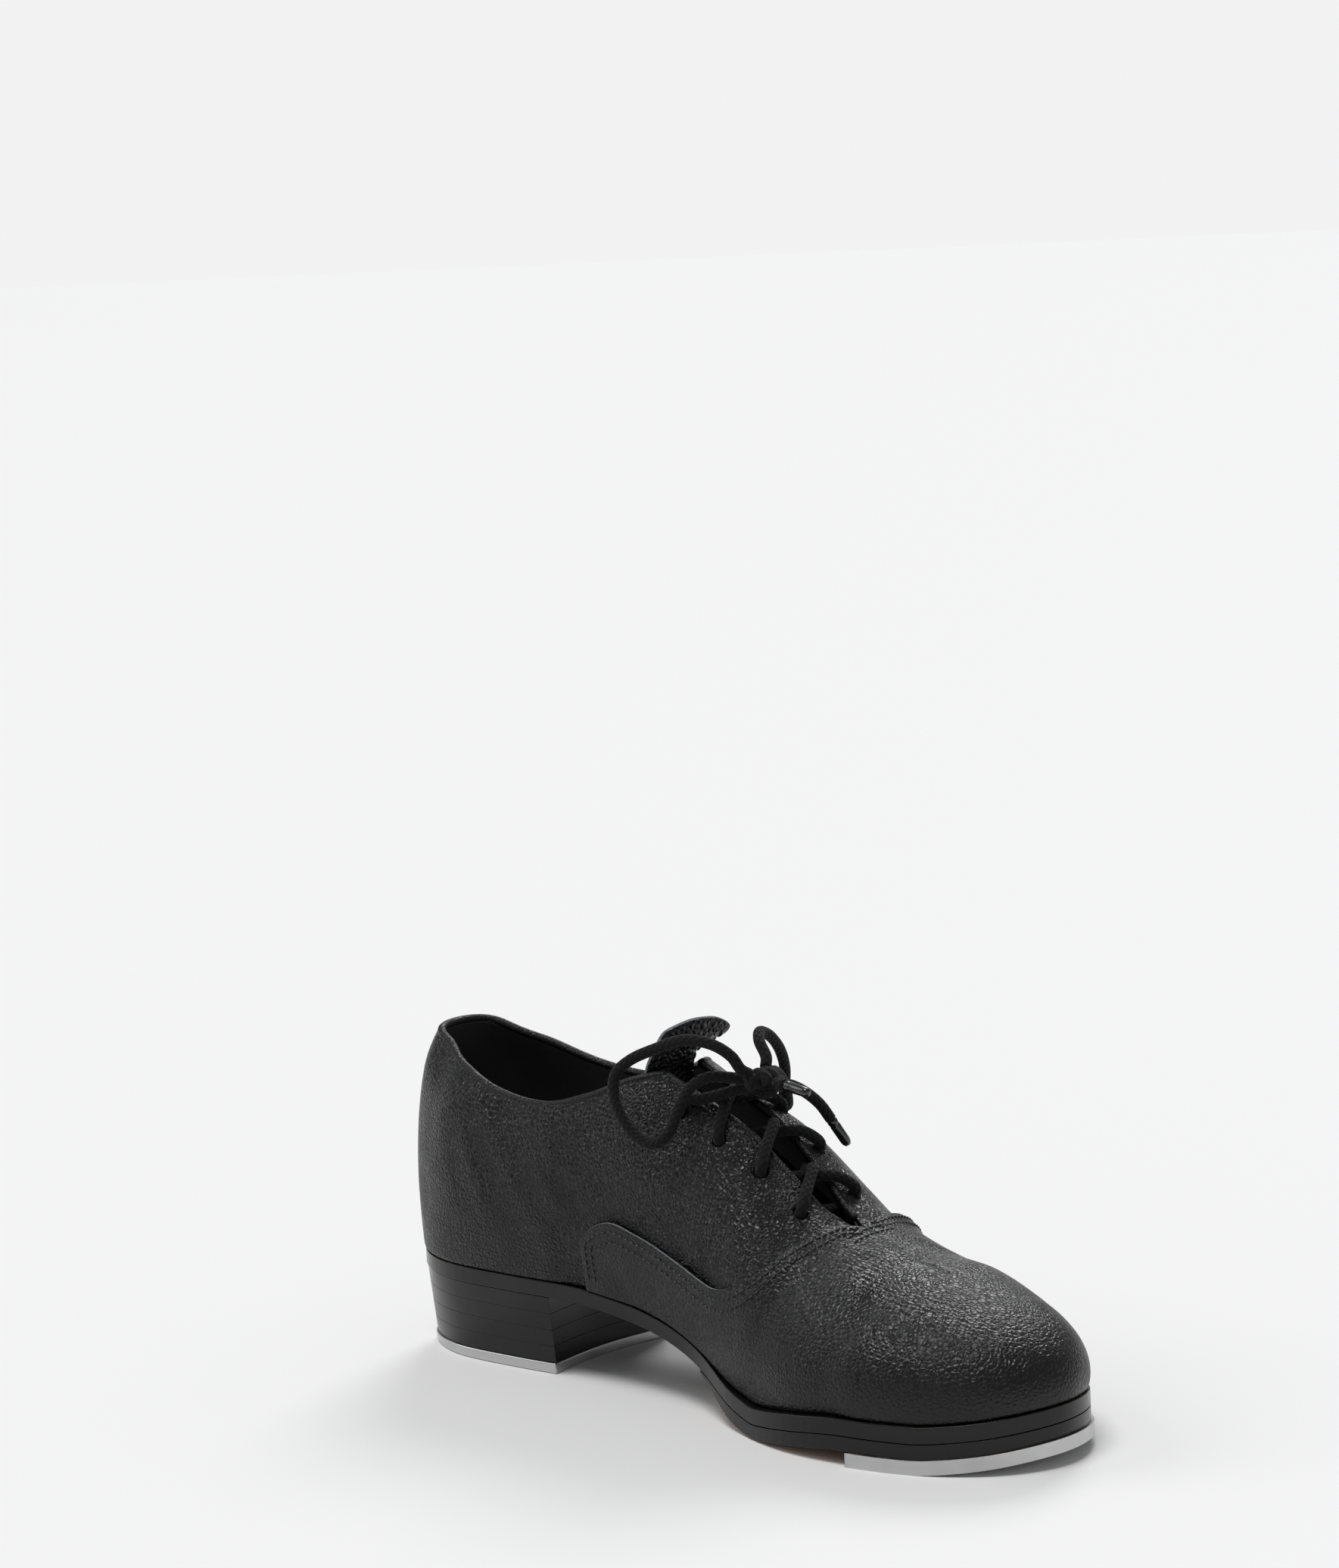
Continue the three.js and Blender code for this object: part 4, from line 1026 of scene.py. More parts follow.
@dataclass(frozen=True)
class View:
    """The camera, placed by its angle to the shoe."""

    target: tuple[float, float, float] = (134.0, 0.0, 45.0)
    azimuth: float = 43.039
    elevation: float = 14.852
    roll: float = -2.51
    focal: float = 5444.98
    across: float = 958.6
    down: float = 1656.9
    distance: float = 1319.465
    width: int = 1769
    height: int = 2072

    def make(self) -> None:
        """Builds the camera and makes it the scene's."""
        a, e = math.radians(self.azimuth), math.radians(self.elevation)
        look = Vector((-math.sin(a) * math.cos(e), math.cos(a) * math.cos(e), -math.sin(e)))
        place = Vector(self.target) - look * self.distance
        ox = (self.across - self.width / 2) / self.focal
        oy = (self.down - self.height / 2) / self.focal
        a2 = a + math.atan(ox)
        e2 = e - math.atan2(oy, math.hypot(1, ox))
        axis = Vector((-math.sin(a2) * math.cos(e2), math.cos(a2) * math.cos(e2), -math.sin(e2)))
        right = Vector((math.cos(a2), math.sin(a2), 0))
        up = right.cross(axis)
        r = math.radians(self.roll)
        right, up = right * math.cos(r) + up * math.sin(r), up * math.cos(r) - right * math.sin(r)
        data = bpy.data.cameras.new("view")
        data.sensor_fit = "AUTO"
        data.sensor_width = 36
        data.lens = 36 * self.focal / max(self.width, self.height)
        data.clip_start, data.clip_end = 0.05, 20
        camera = bpy.data.objects.new("view", data)
        bpy.context.scene.collection.objects.link(camera)
        turn = Matrix((right, up, -axis)).transposed().to_4x4()
        camera.matrix_world = Matrix.Translation(metres(place)) @ turn
        bpy.context.scene.camera = camera


# ---------------------------------------------------------------- lace


@dataclass
class Lace:
    """The lace, its knot, bow and tips."""

    last: Last
    seams: Seams
    looks: Wardrobe
    diameter: float = 3.7
    drawn: float = 3.2
    eyelets: Pairs = ((0.455, 13.4), (0.517, 13.4), (0.575, 12.8), (0.63, 12.2))
    knot: Spot = (147.5, -2.0, 101.8)
    knot_size: Spot = (5.2, 7.0, 4.6)
    core_width: float = 5.2
    near_tip: Spots = ((157.5, -3.33, 102.37), (168, -4.4, 101.4))
    far_tip: Spots = ((154.05, 21.15, 86.3), (156, 26.6, 77.4))
    near_loop: Spots = (
        (144.8, -9.8, 107.2), (143, -12, 111.5), (138, -15, 115.2), (129.5, -18.5, 116.4),
        (119.5, -22, 113), (111.5, -25.5, 109), (107.8, -28, 104.8), (108, -29.6, 99),
        (111.6, -30.2, 92), (117.5, -29.6, 86), (124, -28.4, 84.4), (128.6, -26.4, 88.4),
        (129.6, -22.6, 95.6), (131, -18.4, 101.4), (134.5, -14.4, 104.2), (139.3, -9.4, 103.9),
    )
    far_loop: Spots = (
        (144, 3, 108.6), (139.5, 5, 112.8), (135.5, 9.6, 114.6), (133.6, 16, 112.2),
        (131.4, 23, 106.4), (128.4, 28.6, 98.6), (125.6, 31, 91), (126.4, 29.6, 86),
        (130.4, 27, 87.2), (133.6, 23, 93), (136.4, 17.4, 99), (140.8, 9.2, 102.6),
    )
    near_end: Spots = ((154.6, -3, 102.6), (157.2, -3.3, 102.4))
    far_end: Spots = (
        (149.6, 7.8, 99.4), (151.4, 12.6, 96.4), (153, 17.4, 91.8), (154, 21, 86.6),
    )

    def leaving(self, towards: Vector) -> Vector:
        """Where a lace that runs towards a point leaves the knot."""
        centre = Vector(self.knot)
        way = (towards - centre).normalized()
        reach = 1 / math.hypot(*(w / s for w, s in zip(way, self.knot_size)))
        return centre + way * (reach + 0.5)

    def crossing(self, k: int, side: int, on_top: bool) -> list[Vector]:
        """One crossing, from a lower hole to the next hole up on the other side."""
        n = self.last.length
        x1, y1 = self.eyelets[k + 1][0] * n, self.eyelets[k + 1][1]
        x0, y0 = self.eyelets[k][0] * n, self.eyelets[k][1]
        over = self.last.layers + self.drawn / 2 + 0.65
        under = -(self.drawn / 2 + 0.6)
        span = math.hypot(x1 - x0, y1 + y0)

        def place(t: float, height: float) -> Vector:
            return self.last.beside(x1 + (x0 - x1) * t, side * (y1 - (y0 + y1) * t), height)

        gap = self.seams.facing((x0 + x1) / 2 / n)
        leave, centre, enter = (y1 - gap) / (y0 + y1), y1 / (y0 + y1), (y1 + gap) / (y0 + y1)
        bend, free = 2.6 / span, (self.drawn / 2 + 1.3) / span
        middle = over - 0.6 if on_top else over - self.drawn - 1.1
        return [
            place(0, -1), place(0, self.last.layers - 0.3), place(bend * 0.3, over - 0.75),
            place(bend, over), place(leave, over), place(centre, middle),
            place(enter - free, under + 0.9), place(enter, under - 0.2), place(1 - bend, under),
            place(1 - bend * 0.3, under + 0.75),
        ]

    def climb(self, side: int) -> list[Vector]:
        """One half of the lace, from the lowest holes up to the knot."""
        way: list[Vector] = []
        start = side
        over = self.last.layers + self.drawn / 2 + 0.65
        for k in range(len(self.eyelets) - 2, -1, -1):
            way += self.crossing(k, start, (k + (1 if side > 0 else 0)) % 2 == 0)
            start = -start
        x, y = self.eyelets[0][0] * self.last.length, self.eyelets[0][1]
        at = self.last.beside
        way += [at(x, start * y, -1), at(x, start * y, self.last.layers - 0.3),
                at(x + 0.4, start * (y - 0.7), over - 0.75), at(x + 1, start * (y - 2.6), over),
                at(x + 5, start * 9, over + 0.4)]
        return [*way, self.leaving(way[-1])]

    def through(self) -> list[Vector]:
        """The whole line of the lace through its holes."""
        x, y = self.eyelets[-1][0] * self.last.length, self.eyelets[-1][1]
        under = -(self.drawn / 2 + 0.6)
        bar = [self.last.beside(x + 1.2, s * y, under - 0.4) for s in (-0.6, 0, 0.6)]
        return [*reversed(self.climb(-1)), *bar, *self.climb(1)]

    def cord(
        self, name: str, points: Sequence[Vector]
    ) -> bpy.types.Object:
        """One declared stretch of the lace.

        Args:
            name: The piece's name, which is its CAD node's with _braid added.
            points: The line's points in millimetres.

        Returns:
            The braided tube.
        """
        line = smooth_line(points, LACE_STEP)
        obj = tube(name + "_braid", line, self.diameter, self.looks.lace)
        report(obj, [name])
        return obj

    def tip(self, name: str, a: Spot, b: Spot) -> bpy.types.Object:
        """A crimped plastic tip, turned about its own line."""
        foot, head = Vector(a), Vector(b)
        long = (head - foot).length
        profile = [(0, 0), (1.45, 0), (1.72, 0.5), (1.7, 1.6), (1.56, 2.1), (1.7, 2.6),
                   (1.66, 8.8), (1.5, 9.8), (1.1, long), (0, long)]
        bm = bmesh.new()
        verts = [bm.verts.new((r, 0, z)) for r, z in profile]
        edges = [bm.edges.new(pair) for pair in zip(verts, verts[1:])]
        bmesh.ops.spin(bm, geom=verts + edges, cent=(0, 0, 0), axis=(0, 0, 1), angle=2 * math.pi,
                       steps=20, use_merge=True)
        bmesh.ops.remove_doubles(bm, verts=bm.verts, dist=0.01)
        turn = (head - foot).to_track_quat("Z", "Y").to_matrix().to_4x4()
        bmesh.ops.transform(bm, matrix=Matrix.Translation(foot) @ turn, verts=bm.verts)
        bmesh.ops.recalc_face_normals(bm, faces=bm.faces)
        return report(shown(name + "_tip", bm, [self.looks.tip]), [name])

    def stub(self, name: str, points: Sequence[Vector]) -> bpy.types.Object:
        """A short end of the lace between knot and tip."""
        line = smooth_line(points, LACE_STEP)
        obj = tube(name + "_braid", line, self.diameter, self.looks.lace)
        return report(obj, [name])

    def wraps(self) -> bpy.types.Object:
        """The knot: a core with the lace wound over it."""
        centre = Vector(self.knot)
        line = []
        for i in range(60):
            a = 2 * math.pi * 1.62 * i / 59
            drift = -2.6 + 5.2 * i / 59
            line.append(centre + Vector((3.7 * math.cos(a), drift, 3.3 * math.sin(a))))
        return report(tube("knot_wraps", line, self.diameter, self.looks.lace), [])

    def core(self) -> bpy.types.Object:
        """The middle of the knot."""
        centre = Vector(self.knot)
        line = [centre + Vector((-1.6, -6.2, 0.8)), centre + Vector((-0.8, -3, 1.2)), centre,
                centre + Vector((0.8, 3, -0.6)), centre + Vector((1.2, 6.2, -1.2))]
        obj = tube("knot_core", smooth_line(line, LACE_STEP), self.core_width, self.looks.lace)
        return report(obj, ["lace_knot"])

    def make(self) -> None:
        """Builds every piece of the lace."""
        core, wraps = self.core(), self.wraps()
        tips = {
            "near": self.tip("aglet_near", *self.near_tip),
            "far": self.tip("aglet_far", *self.far_tip),
        }
        for side, places in (("near", self.near_end), ("far", self.far_end)):
            points = [Vector(p) for p in places]
            self.stub(f"lace_end_{side}", [self.leaving(points[0]), *points])
        self.cord("lace_through_eyelets", self.through())
        for side, places in (("near", self.near_loop), ("far", self.far_loop)):
            points = [Vector(p) for p in places]
            line = [self.leaving(points[0]), *points, self.leaving(points[-1])]
            self.cord(f"lace_loop_{side}", line)


# ---------------------------------------------------------------- upper


@dataclass
class Upper:
    """Vamp, quarters, linings, edges and stitching."""

    last: Last
    seams: Seams
    looks: Wardrobe
    folds: tuple[tuple[float, float, float, float, float, float], ...] = (
        (50, 88, 78, 50, 0.75, 4.0), (58, 90, 90, 54, 0.6, 3.4), (40, 82, 58, 52, 0.6, 4.0),
        (68, 88, 98, 64, 0.4, 3.0), (32, 80, 42, 50, 0.35, 3.5), (96, 74, 122, 58, 0.35, 3.5),
    )

    def __post_init__(self) -> None:
        """Works out the heights of the layers."""
        self.skin = self.last.lining + self.last.gap
        self.lift = 1.0 + self.last.gap
        self.over = self.last.leather + self.last.gap

    def furrow(self, p: Vector) -> float:
        """How deep the worn folds are at a point."""
        deep = 0.0
        for x1, z1, x2, z2, depth, width in self.folds:
            a, b = Vector((x1, z1)), Vector((x2, z2))
            q = Vector((p.x, p.z))
            t = clamp01((q - a).dot(b - a) / (b - a).length_squared)
            side = (q - a.lerp(b, t)).length
            taper = math.sin(math.pi * (0.15 + 0.7 * t)) ** 0.5
            deep += depth * math.exp(-((side / width) ** 2)) * taper
        return deep

    def quarter_height(self, d: float, s: float) -> float:
        """Height of a quarter's outer face off the last."""
        base = self.skin + self.lift * self.seams.counter(d, s) + self.last.leather
        slack = 0.35 * math.sin(self.last.point(d, s).x * 0.16 + s * 5)
        worn = self.furrow(self.last.point(d, s))
        held = ease(s / 0.2) * ease((self.seams.quarter_top(d) - s) / 0.12)
        return base - worn * 1.5 + slack * held

    def vamp_height(self, d: float, s: float) -> float:
        """Height of the vamp's outer face off the last."""
        room = max(self.over * self.seams.overlap(d, s), self.lift * self.seams.puff(d, s))
        return self.skin + room + self.last.leather

    def eyelet_cutters(self, eyelets: Pairs, side: int) -> bpy.types.Object:
        """Round rods where the eyelets are punched."""
        bm = bmesh.new()
        for share, y in eyelets:
            x = share * self.last.length
            foot, head = self.last.beside(x, side * y, -3), self.last.beside(x, side * y, 8)
            turn = (head - foot).to_track_quat("Z", "Y").to_matrix().to_4x4()
            place = Matrix.Translation((foot + head) / 2) @ turn
            bmesh.ops.create_cone(bm, cap_ends=True, segments=24, radius1=HOLE_RADIUS,
                                  radius2=HOLE_RADIUS, depth=11, matrix=place)
        return shown("punch", bm, [])

    def punched(self, obj: bpy.types.Object, eyelets: Pairs, sides: Sequence[int]) -> None:
        """Cuts the eyelets through a piece."""
        for side in sides:
            rods = self.eyelet_cutters(eyelets, side)
            cut = obj.modifiers.new("holes", "BOOLEAN")
            cut.operation, cut.solver, cut.object = "DIFFERENCE", "EXACT", rods
            baked(obj)
            bpy.data.objects.remove(rods)

    def quarters(self, eyelets: Pairs) -> None:
        """Both quarters."""
        end, n = self.seams.throat + 6, self.last
        spans = {
            "medial_quarter": (Side.INNER, (0.0, n.way(Side.INNER, end))),
            "lateral_quarter": (Side.OUTER, (n.way(Side.OUTER, end), n.round)),
        }
        faces = [self.looks.quarter, self.looks.bead, self.looks.flesh]
        for name, (side, span) in spans.items():
            obj = sheet(name + "_leather", n, span, self.seams.quarter_low,
                        self.seams.quarter_top, self.quarter_height, faces, 2.4, 30)
            walled(obj, n.leather, 1, 2)
            self.punched(obj, eyelets, [side.value])
            report(obj, [name])

    def vamp(self) -> None:
        """The vamp with its grey cut edge."""
        n, s = self.last, self.seams
        span = tuple(n.way(side, s.vamp_rear[side]) for side in Side)
        obj = sheet("vamp_leather", n, span, lambda d: 0.0, s.vamp_edge, self.vamp_height,
                    [self.looks.vamp, self.looks.raw, self.looks.flesh], 1.5, 28)
        report(walled(obj, n.leather, 1, 2), ["vamp"])

    def linings(self, eyelets: Pairs) -> None:
        """The linings of quarters and vamp."""
        n, s = self.last, self.seams
        end, split = s.split[1] - 4, s.split[0]

        def seam(d: float) -> float:
            return 0.02 + 0.9 * clamp01((n.station(d) - s.split[0]) / (s.split[1] - s.split[0]))

        span = (n.way(Side.OUTER, end) - n.round, n.way(Side.INNER, end))
        obj = sheet("quarter_lining_leather", n, span,
                    lambda d: 0.0 if n.station(d) < split else seam(d) + 0.4 / n.section(d),
                    s.quarter_top,
                    lambda d, h: n.lining, [self.looks.lining], 4.0, 18)
        walled(obj, n.lining, 0)
        self.punched(obj, eyelets, [-1, 1])
        report(obj, ["quarter_lining"])
        span = tuple(n.way(side, split + 0.4) for side in Side)
        obj = sheet("vamp_lining_cloth", n, span,
                    lambda d: 0.0, lambda d: 1.0 if n.station(d) > s.split[1] + 2 else seam(d),
                    lambda d, h: n.lining - 0.75 * s.overlap(d, h) * ease(h / 0.25),
                    [self.looks.lining], 4.0, 16)
        report(walled(obj, n.lining, 0), ["vamp_lining"])

    def beads(self) -> None:
        """The turned topline and the facings' edges."""
        n, s = self.last, self.seams
        middle = n.layers / 2 + 0.1
        start, stop = n.way(Side.OUTER, s.collar_end) - n.round, n.way(Side.INNER, s.collar_end)
        places = [start + (stop - start) * i / 90 for i in range(91)]
        line = [n.off(d, s.quarter_top(d) - 0.006, middle) for d in places]
        bead = tube(
            "turned_topline", smooth_line(line, EDGE_STEP), TOPLINE_BEAD, self.looks.bead, 12
        )
        report(bead, [])
        for side in Side:
            line = []
            for i in range(31):
                x = s.collar_end + (s.throat - 5 - s.collar_end) * i / 30
                d = n.way(side, x)
                line.append(n.off(d, s.quarter_top(d) - 0.004, middle))
            name = f"{side.name.lower()}_facing_edge"
            edge = tube(name, smooth_line(line, EDGE_STEP), FACING_BEAD, self.looks.bead, 12)
            report(edge, [])

    def seam_path(self, side: Side, inset: float) -> list[Vector]:
        """The line of a stitch row beside the vamp's edge, from the sole to the throat."""
        n, s = self.last, self.seams
        rear = s.vamp_rear[side]
        chart = [Vector((rear + inset, 3 + i * 2.0)) for i in range(6)]
        x = rear
        while x < s.throat + 2:
            d = n.way(side, x)
            e = n.way(side, x + 1.0)
            here = Vector((x, s.vamp_edge(d) * n.section(d)))
            ahead = Vector((x + 1.0, s.vamp_edge(e) * n.section(e)))
            way = (ahead - here).normalized()
            q = here + Vector((way.y, -way.x)) * inset
            if q.x > rear + inset + 0.6 and q.y > 3:
                chart.append(q)
            x += 2.0
        flat = [Vector((q.x, q.y, 0)) for q in chart]
        out = []
        for q in smooth_line(flat, 0.8):
            d = n.way(side, q.x)
            h = min(q.y / n.section(d), 0.99)
            out.append(n.off(d, h, self.vamp_height(d, h) + 0.02))
        return out

    def stitches(self) -> None:
        """Two rows beside the vamp's edge, on over the throat."""
        n, s = self.last, self.seams
        rows = [self.seam_path(side, inset) for side in Side for inset in ROW_INSETS]
        for inset in ROW_INSETS:
            x = s.throat + inset
            row = []
            for i in range(25):
                y = -9 + 18 * i / 24
                side = Side.INNER if y < 0 else Side.OUTER
                d = n.way(side, x)
                h = n.share_beside(d, abs(y))
                row.append(n.off(d, h, self.vamp_height(d, h) + 0.02))
            rows.append(row)
        stitching("vamp_stitching", rows, VAMP_PITCH, self.looks.thread, ROOT)

    def make(self, eyelets: Pairs) -> None:
        """Builds the whole upper."""
        self.quarters(eyelets)
        self.vamp()
        self.linings(eyelets)
        self.beads()
        self.stitches()


@dataclass
class Tongue:
    """The tongue with its sewn root, curled over the instep."""

    looks: Wardrobe
    thick: float = 2.0
    line: Pairs = (
        (187.4, 49.9), (181.2, 53), (173.5, 56.9), (159, 66.4), (144, 75.4), (129.5, 83.3),
        (118, 88.6), (109.2, 93.1), (106.4, 98.8), (107.6, 105), (110.6, 112), (112.4, 118),
    )
    root: float = 0.134

    def half(self, t: float) -> float:
        """Half the tongue's width."""
        return Knots((
            (0, 15), (0.22, 19), (0.5, 17.5), (0.635, 13.6), (0.735, 11), (0.795, 11.3),
            (0.84, 12), (0.88, 12.9), (0.93, 13.4), (0.97, 12), (1, 9.5),
        ))(t)

    def shift(self, t: float) -> float:
        """How far the free end has slipped to the outer side."""
        slip = Knots((
            (0, 0), (0.735, 0), (0.795, 0.3), (0.84, 1.5), (0.88, 2.8), (0.93, 5.2), (1, 7),
        ))
        return max(0.0, slip(t))

    def surface(self, mid: Sequence[Vector], t: float, across: float, out_by: float) -> Vector:
        """A point of the tongue.

        Args:
            mid: Its middle line, evenly spaced.
            t: The share of its length.
            across: From -1 to 1 over its width.
            out_by: The height off its middle layer.

        Returns:
            The point in millimetres.
        """
        f = t * (len(mid) - 1)
        i = min(int(f), len(mid) - 2)
        p, way = mid[i].lerp(mid[i + 1], f - i), (mid[i + 1] - mid[i]).normalized()
        out = Vector((way.z, 0, -way.x))
        u = max(0.0, (t - self.root) / (1 - self.root))
        curl = 20 + 50 * ease((u - 0.84) / 0.12)
        turn = 0.3 * ease((u - 0.85) / 0.1)
        y = self.half(u) * across + self.shift(u)
        q = p + out * (turn * y - y * y / (2 * curl))
        wave = 0.35 * math.sin(t * 31 + across * 1.4) * ease((t - 0.86) / 0.1)
        n = Vector((out.x, y / curl - turn, out.z)).normalized()
        return Vector((q.x, y, q.z)) + n * (out_by + wave)

    def make(self) -> None:
        """Builds the tongue and its stitching."""
        mid = smooth_line([Vector((x, 0, z)) for x, z in self.line], 1.0)
        bm = bmesh.new()
        bmesh.ops.create_grid(bm, x_segments=76, y_segments=18, size=1.0)
        for v in bm.verts:
            t, across = (v.co.x + 1) / 2, v.co.y
            square = 1 - 0.035 * abs(across) ** 3 * ease((t - 0.85) / 0.15)
            v.co = self.surface(mid, t * square, across, self.thick / 2)
        bm.normal_update()
        if sum(f.normal.x + f.normal.z for f in bm.faces) < 0:
            bmesh.ops.reverse_faces(bm, faces=bm.faces)
        obj = shown("tongue_leather", bm, [self.looks.tongue, self.looks.raw, self.looks.flesh])
        walled(obj, self.thick, 1, 2)
        start, stop = metres(Vector((179, 0, 54))), metres(Vector((166, 0, 61.7)))
        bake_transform(obj, ROOT, FLAP, start=start, end=stop)
        report(obj, ["tongue", "tongue_root"])
        row = []
        for side, ts in ((-1, range(60, 97)), (1, range(96, 59, -1))):
            for k in ts:
                inset = 1 - 2.6 / self.half((k / 100 - self.root) / (1 - self.root))
                row.append(self.surface(mid, k / 100 - 0.006, side * inset, self.thick / 2 + 0.12))
        stitching("tongue_stitching", [row], TONGUE_PITCH, self.looks.thread, FLAP)


# ---------------------------------------------------------------- bottom


@dataclass
class Bottom:
    """Outsole, half sole, heel, taps and what lies inside."""

    last: Last
    looks: Wardrobe
    overhang: float = 2.6
    seat_overhang: float = 1.5
    taper: float = 2.2
    breast: float = 0.268
    breast_hollow: float = 3.0
    heel_tap: float = 3.6
    lifts: int = 4
    tap_rear: float = 0.79
    tap_hollow: float = 9.0

    def edge(self, x: float) -> float:
        """How far the sole's edge stands past the outline."""
        forward = ease((x / self.last.length - 0.48) / 0.14)
        return self.seat_overhang + (self.overhang - self.seat_overhang) * forward

    def slab(
        self,
        name: str,
        ring: Sequence[Vector],
        top: Along,
        thick: Along,
        materials: Sequence[bpy.types.Material],
        round_mm: float = 0.5,
    ) -> bpy.types.Object:
        """A layer cut to a ring and laid along the sole line.

        Args:
            name: The piece's name.
            ring: The closed outline.
            top: Height of its upper face along the shoe.
            thick: Its thickness along the shoe.
            materials: Edge finish, then underside finish.
            round_mm: The rounding of its edges.

        Returns:
            The closed layer.
        """
        bm = bmesh.new()
        bm.faces.new([bm.verts.new((p.x, p.y, 0)) for p in ring])
        x0, x1 = min(p.x for p in ring), max(p.x for p in ring)
        steps = max(2, round((x1 - x0) / 4))
        for i in range(1, steps):
            everything = bm.verts[:] + bm.edges[:] + bm.faces[:]
            bmesh.ops.bisect_plane(bm, geom=everything, dist=1e-4, plane_no=(1, 0, 0),
                                   plane_co=(x0 + (x1 - x0) * i / steps, 0, 0))
        upper = bm.faces[:]
        below = bmesh.ops.extrude_face_region(bm, geom=upper)["geom"]
        low = {v for v in below if isinstance(v, bmesh.types.BMVert)}
        for v in bm.verts:
            v.co.z = top(v.co.x) - (thick(v.co.x) if v in low else 0)
        bmesh.ops.recalc_face_normals(bm, faces=bm.faces)
        bm.normal_update()
        for f in bm.faces:
            f.material_index = 1 if f.normal.z < -0.6 and len(materials) > 1 else 0
        rims = [e for e in bm.edges if len(e.link_faces) == 2 and e.calc_face_angle(0) > 0.9]
        bmesh.ops.bevel(bm, geom=rims, offset=round_mm, affect="EDGES", segments=3, profile=0.5,
                        material=-1, clamp_overlap=True)
        obj = shown(name, bm, materials)
        self.crisp(obj)
        return obj

    def crisp(self, obj: bpy.types.Object) -> None:
        """Keeps the flat faces flat in the shading."""
        even = obj.modifiers.new("even", "WEIGHTED_NORMAL")
        even.keep_sharp = True
        even.weight = 80

    def ring(self, grow: Along, x0: float = -50, x1: float = 400) -> list[Vector]:
        """The grown outline between two stations, cut square across."""
        full = self.last.grown(grow)
        out: list[Vector] = []
        n = len(full)
        for i, p in enumerate(full):
            q = full[(i + 1) % n]
            if x0 <= p.x <= x1:
                out.append(p)
            for cut in (x0, x1):
                if (p.x - cut) * (q.x - cut) < 0:
                    out.append(p.lerp(q, (cut - p.x) / (q.x - p.x)))
        return out

    def heel_ring(self, shrink: float) -> list[Vector]:
        """The heel's outline with its hollow breast."""
        breast = self.breast * self.last.length
        rim = self.ring(lambda x: self.seat_overhang - 0.4 - shrink, -50, breast)
        corner = [p for p in rim if abs(p.x - breast) < 1e-3]
        low, high = min(p.y for p in corner), max(p.y for p in corner)
        rest = [p for p in rim if p.x < breast - 0.5]
        inner = sorted((p for p in rest if p.y < 0), key=lambda p: math.atan2(-p.y, p.x - 30))
        outer = sorted((p for p in rest if p.y >= 0), key=lambda p: -math.atan2(p.y, p.x - 30))
        hollow = []
        for i in range(17):
            dip = self.breast_hollow * math.sin(math.pi * i / 16)
            hollow.append(Vector((breast - dip, high + (low - high) * i / 16, 0)))
        return [*hollow, *inner, *outer]

    def block(
        self,
        name: str,
        rings: tuple[list[Vector], list[Vector]],
        floor: Along,
        top: Along,
        material: bpy.types.Material,
        round_mm: float,
    ) -> bpy.types.Object:
        """A tapered layer of the heel between two outlines of the same points."""
        lower, upper = rings
        bm = bmesh.new()
        face = bm.faces.new([bm.verts.new((p.x, p.y, floor(p.x))) for p in lower])
        made = bmesh.ops.extrude_face_region(bm, geom=[face])["geom"]
        raised = [v for v in made if isinstance(v, bmesh.types.BMVert)]
        for v in raised:
            away = [(p.x - v.co.x) ** 2 + (p.y - v.co.y) ** 2 for p in lower]
            near = away.index(min(away))
            v.co = Vector((upper[near].x, upper[near].y, top(upper[near].x)))
        bmesh.ops.recalc_face_normals(bm, faces=bm.faces)
        rims = [e for e in bm.edges if len(e.link_faces) == 2 and e.calc_face_angle(0) > 0.7]
        bmesh.ops.bevel(bm, geom=rims, offset=round_mm, affect="EDGES", segments=3, profile=0.5,
                        material=-1, clamp_overlap=True)
        obj = shown(name, bm, [material])
        self.crisp(obj)
        return obj

    def heel(self) -> None:
        """The stacked lifts and the heel tap."""
        base = self.heel_tap + 0.2

        def level(k: int, x: float) -> float:
            under = self.last.sole_top(x) - self.last.outsole - 0.2
            return base + (under - base) * (k + 1) / self.lifts

        for k in range(self.lifts):
            rings = (self.heel_ring(self.taper * (1 - k / self.lifts)),
                     self.heel_ring(self.taper * (1 - (k + 1) / self.lifts)))
            floor = (lambda x: base) if k == 0 else (lambda x, k=k: level(k - 1, x) + 0.04)
            name = f"painted_lift_{k + 1}"
            obj = self.block(name, rings, floor, lambda x, k=k: level(k, x), self.looks.heel, 0.1)
            report(obj, [f"heel_lift_{k + 1}"])
        rim = self.heel_ring(self.taper - 0.6)
        tap = self.block("heel_tap_plate", (self.heel_ring(self.taper - 0.2), rim), lambda x: 0.0,
                         lambda x: self.heel_tap, self.looks.tap, 0.55)
        report(tap, ["heel_tap"])

    def toe(self) -> None:
        """The toe tap, hollow behind and turned up in front."""
        n = self.last
        rear, half = self.tap_rear * n.length, n.ball / 2
        rim = self.ring(lambda x: self.overhang + 1.0, rear, 400)
        radius = (half**2 + self.tap_hollow**2) / (2 * self.tap_hollow)
        front = [p for p in rim if p.x > rear + 0.3]
        ys = [p.y for p in rim if abs(p.x - rear) < 1e-3]
        low, high = min(ys), max(ys)
        bow = []
        for i in range(25):
            y = high + (low - high) * i / 24
            x = rear - radius + self.tap_hollow + math.sqrt(radius**2 - y * y)
            bow.append(Vector((max(rear, x), y, 0)))
        front.sort(key=lambda p: math.atan2(p.y, p.x - rear - 5))
        obj = self.slab("toe_tap_plate", [*bow, *front], lambda x: n.toe_tap + self.lift(x),
                        lambda x: n.toe_tap, [self.looks.tap], 0.7)
        report(obj, ["toe_tap"])

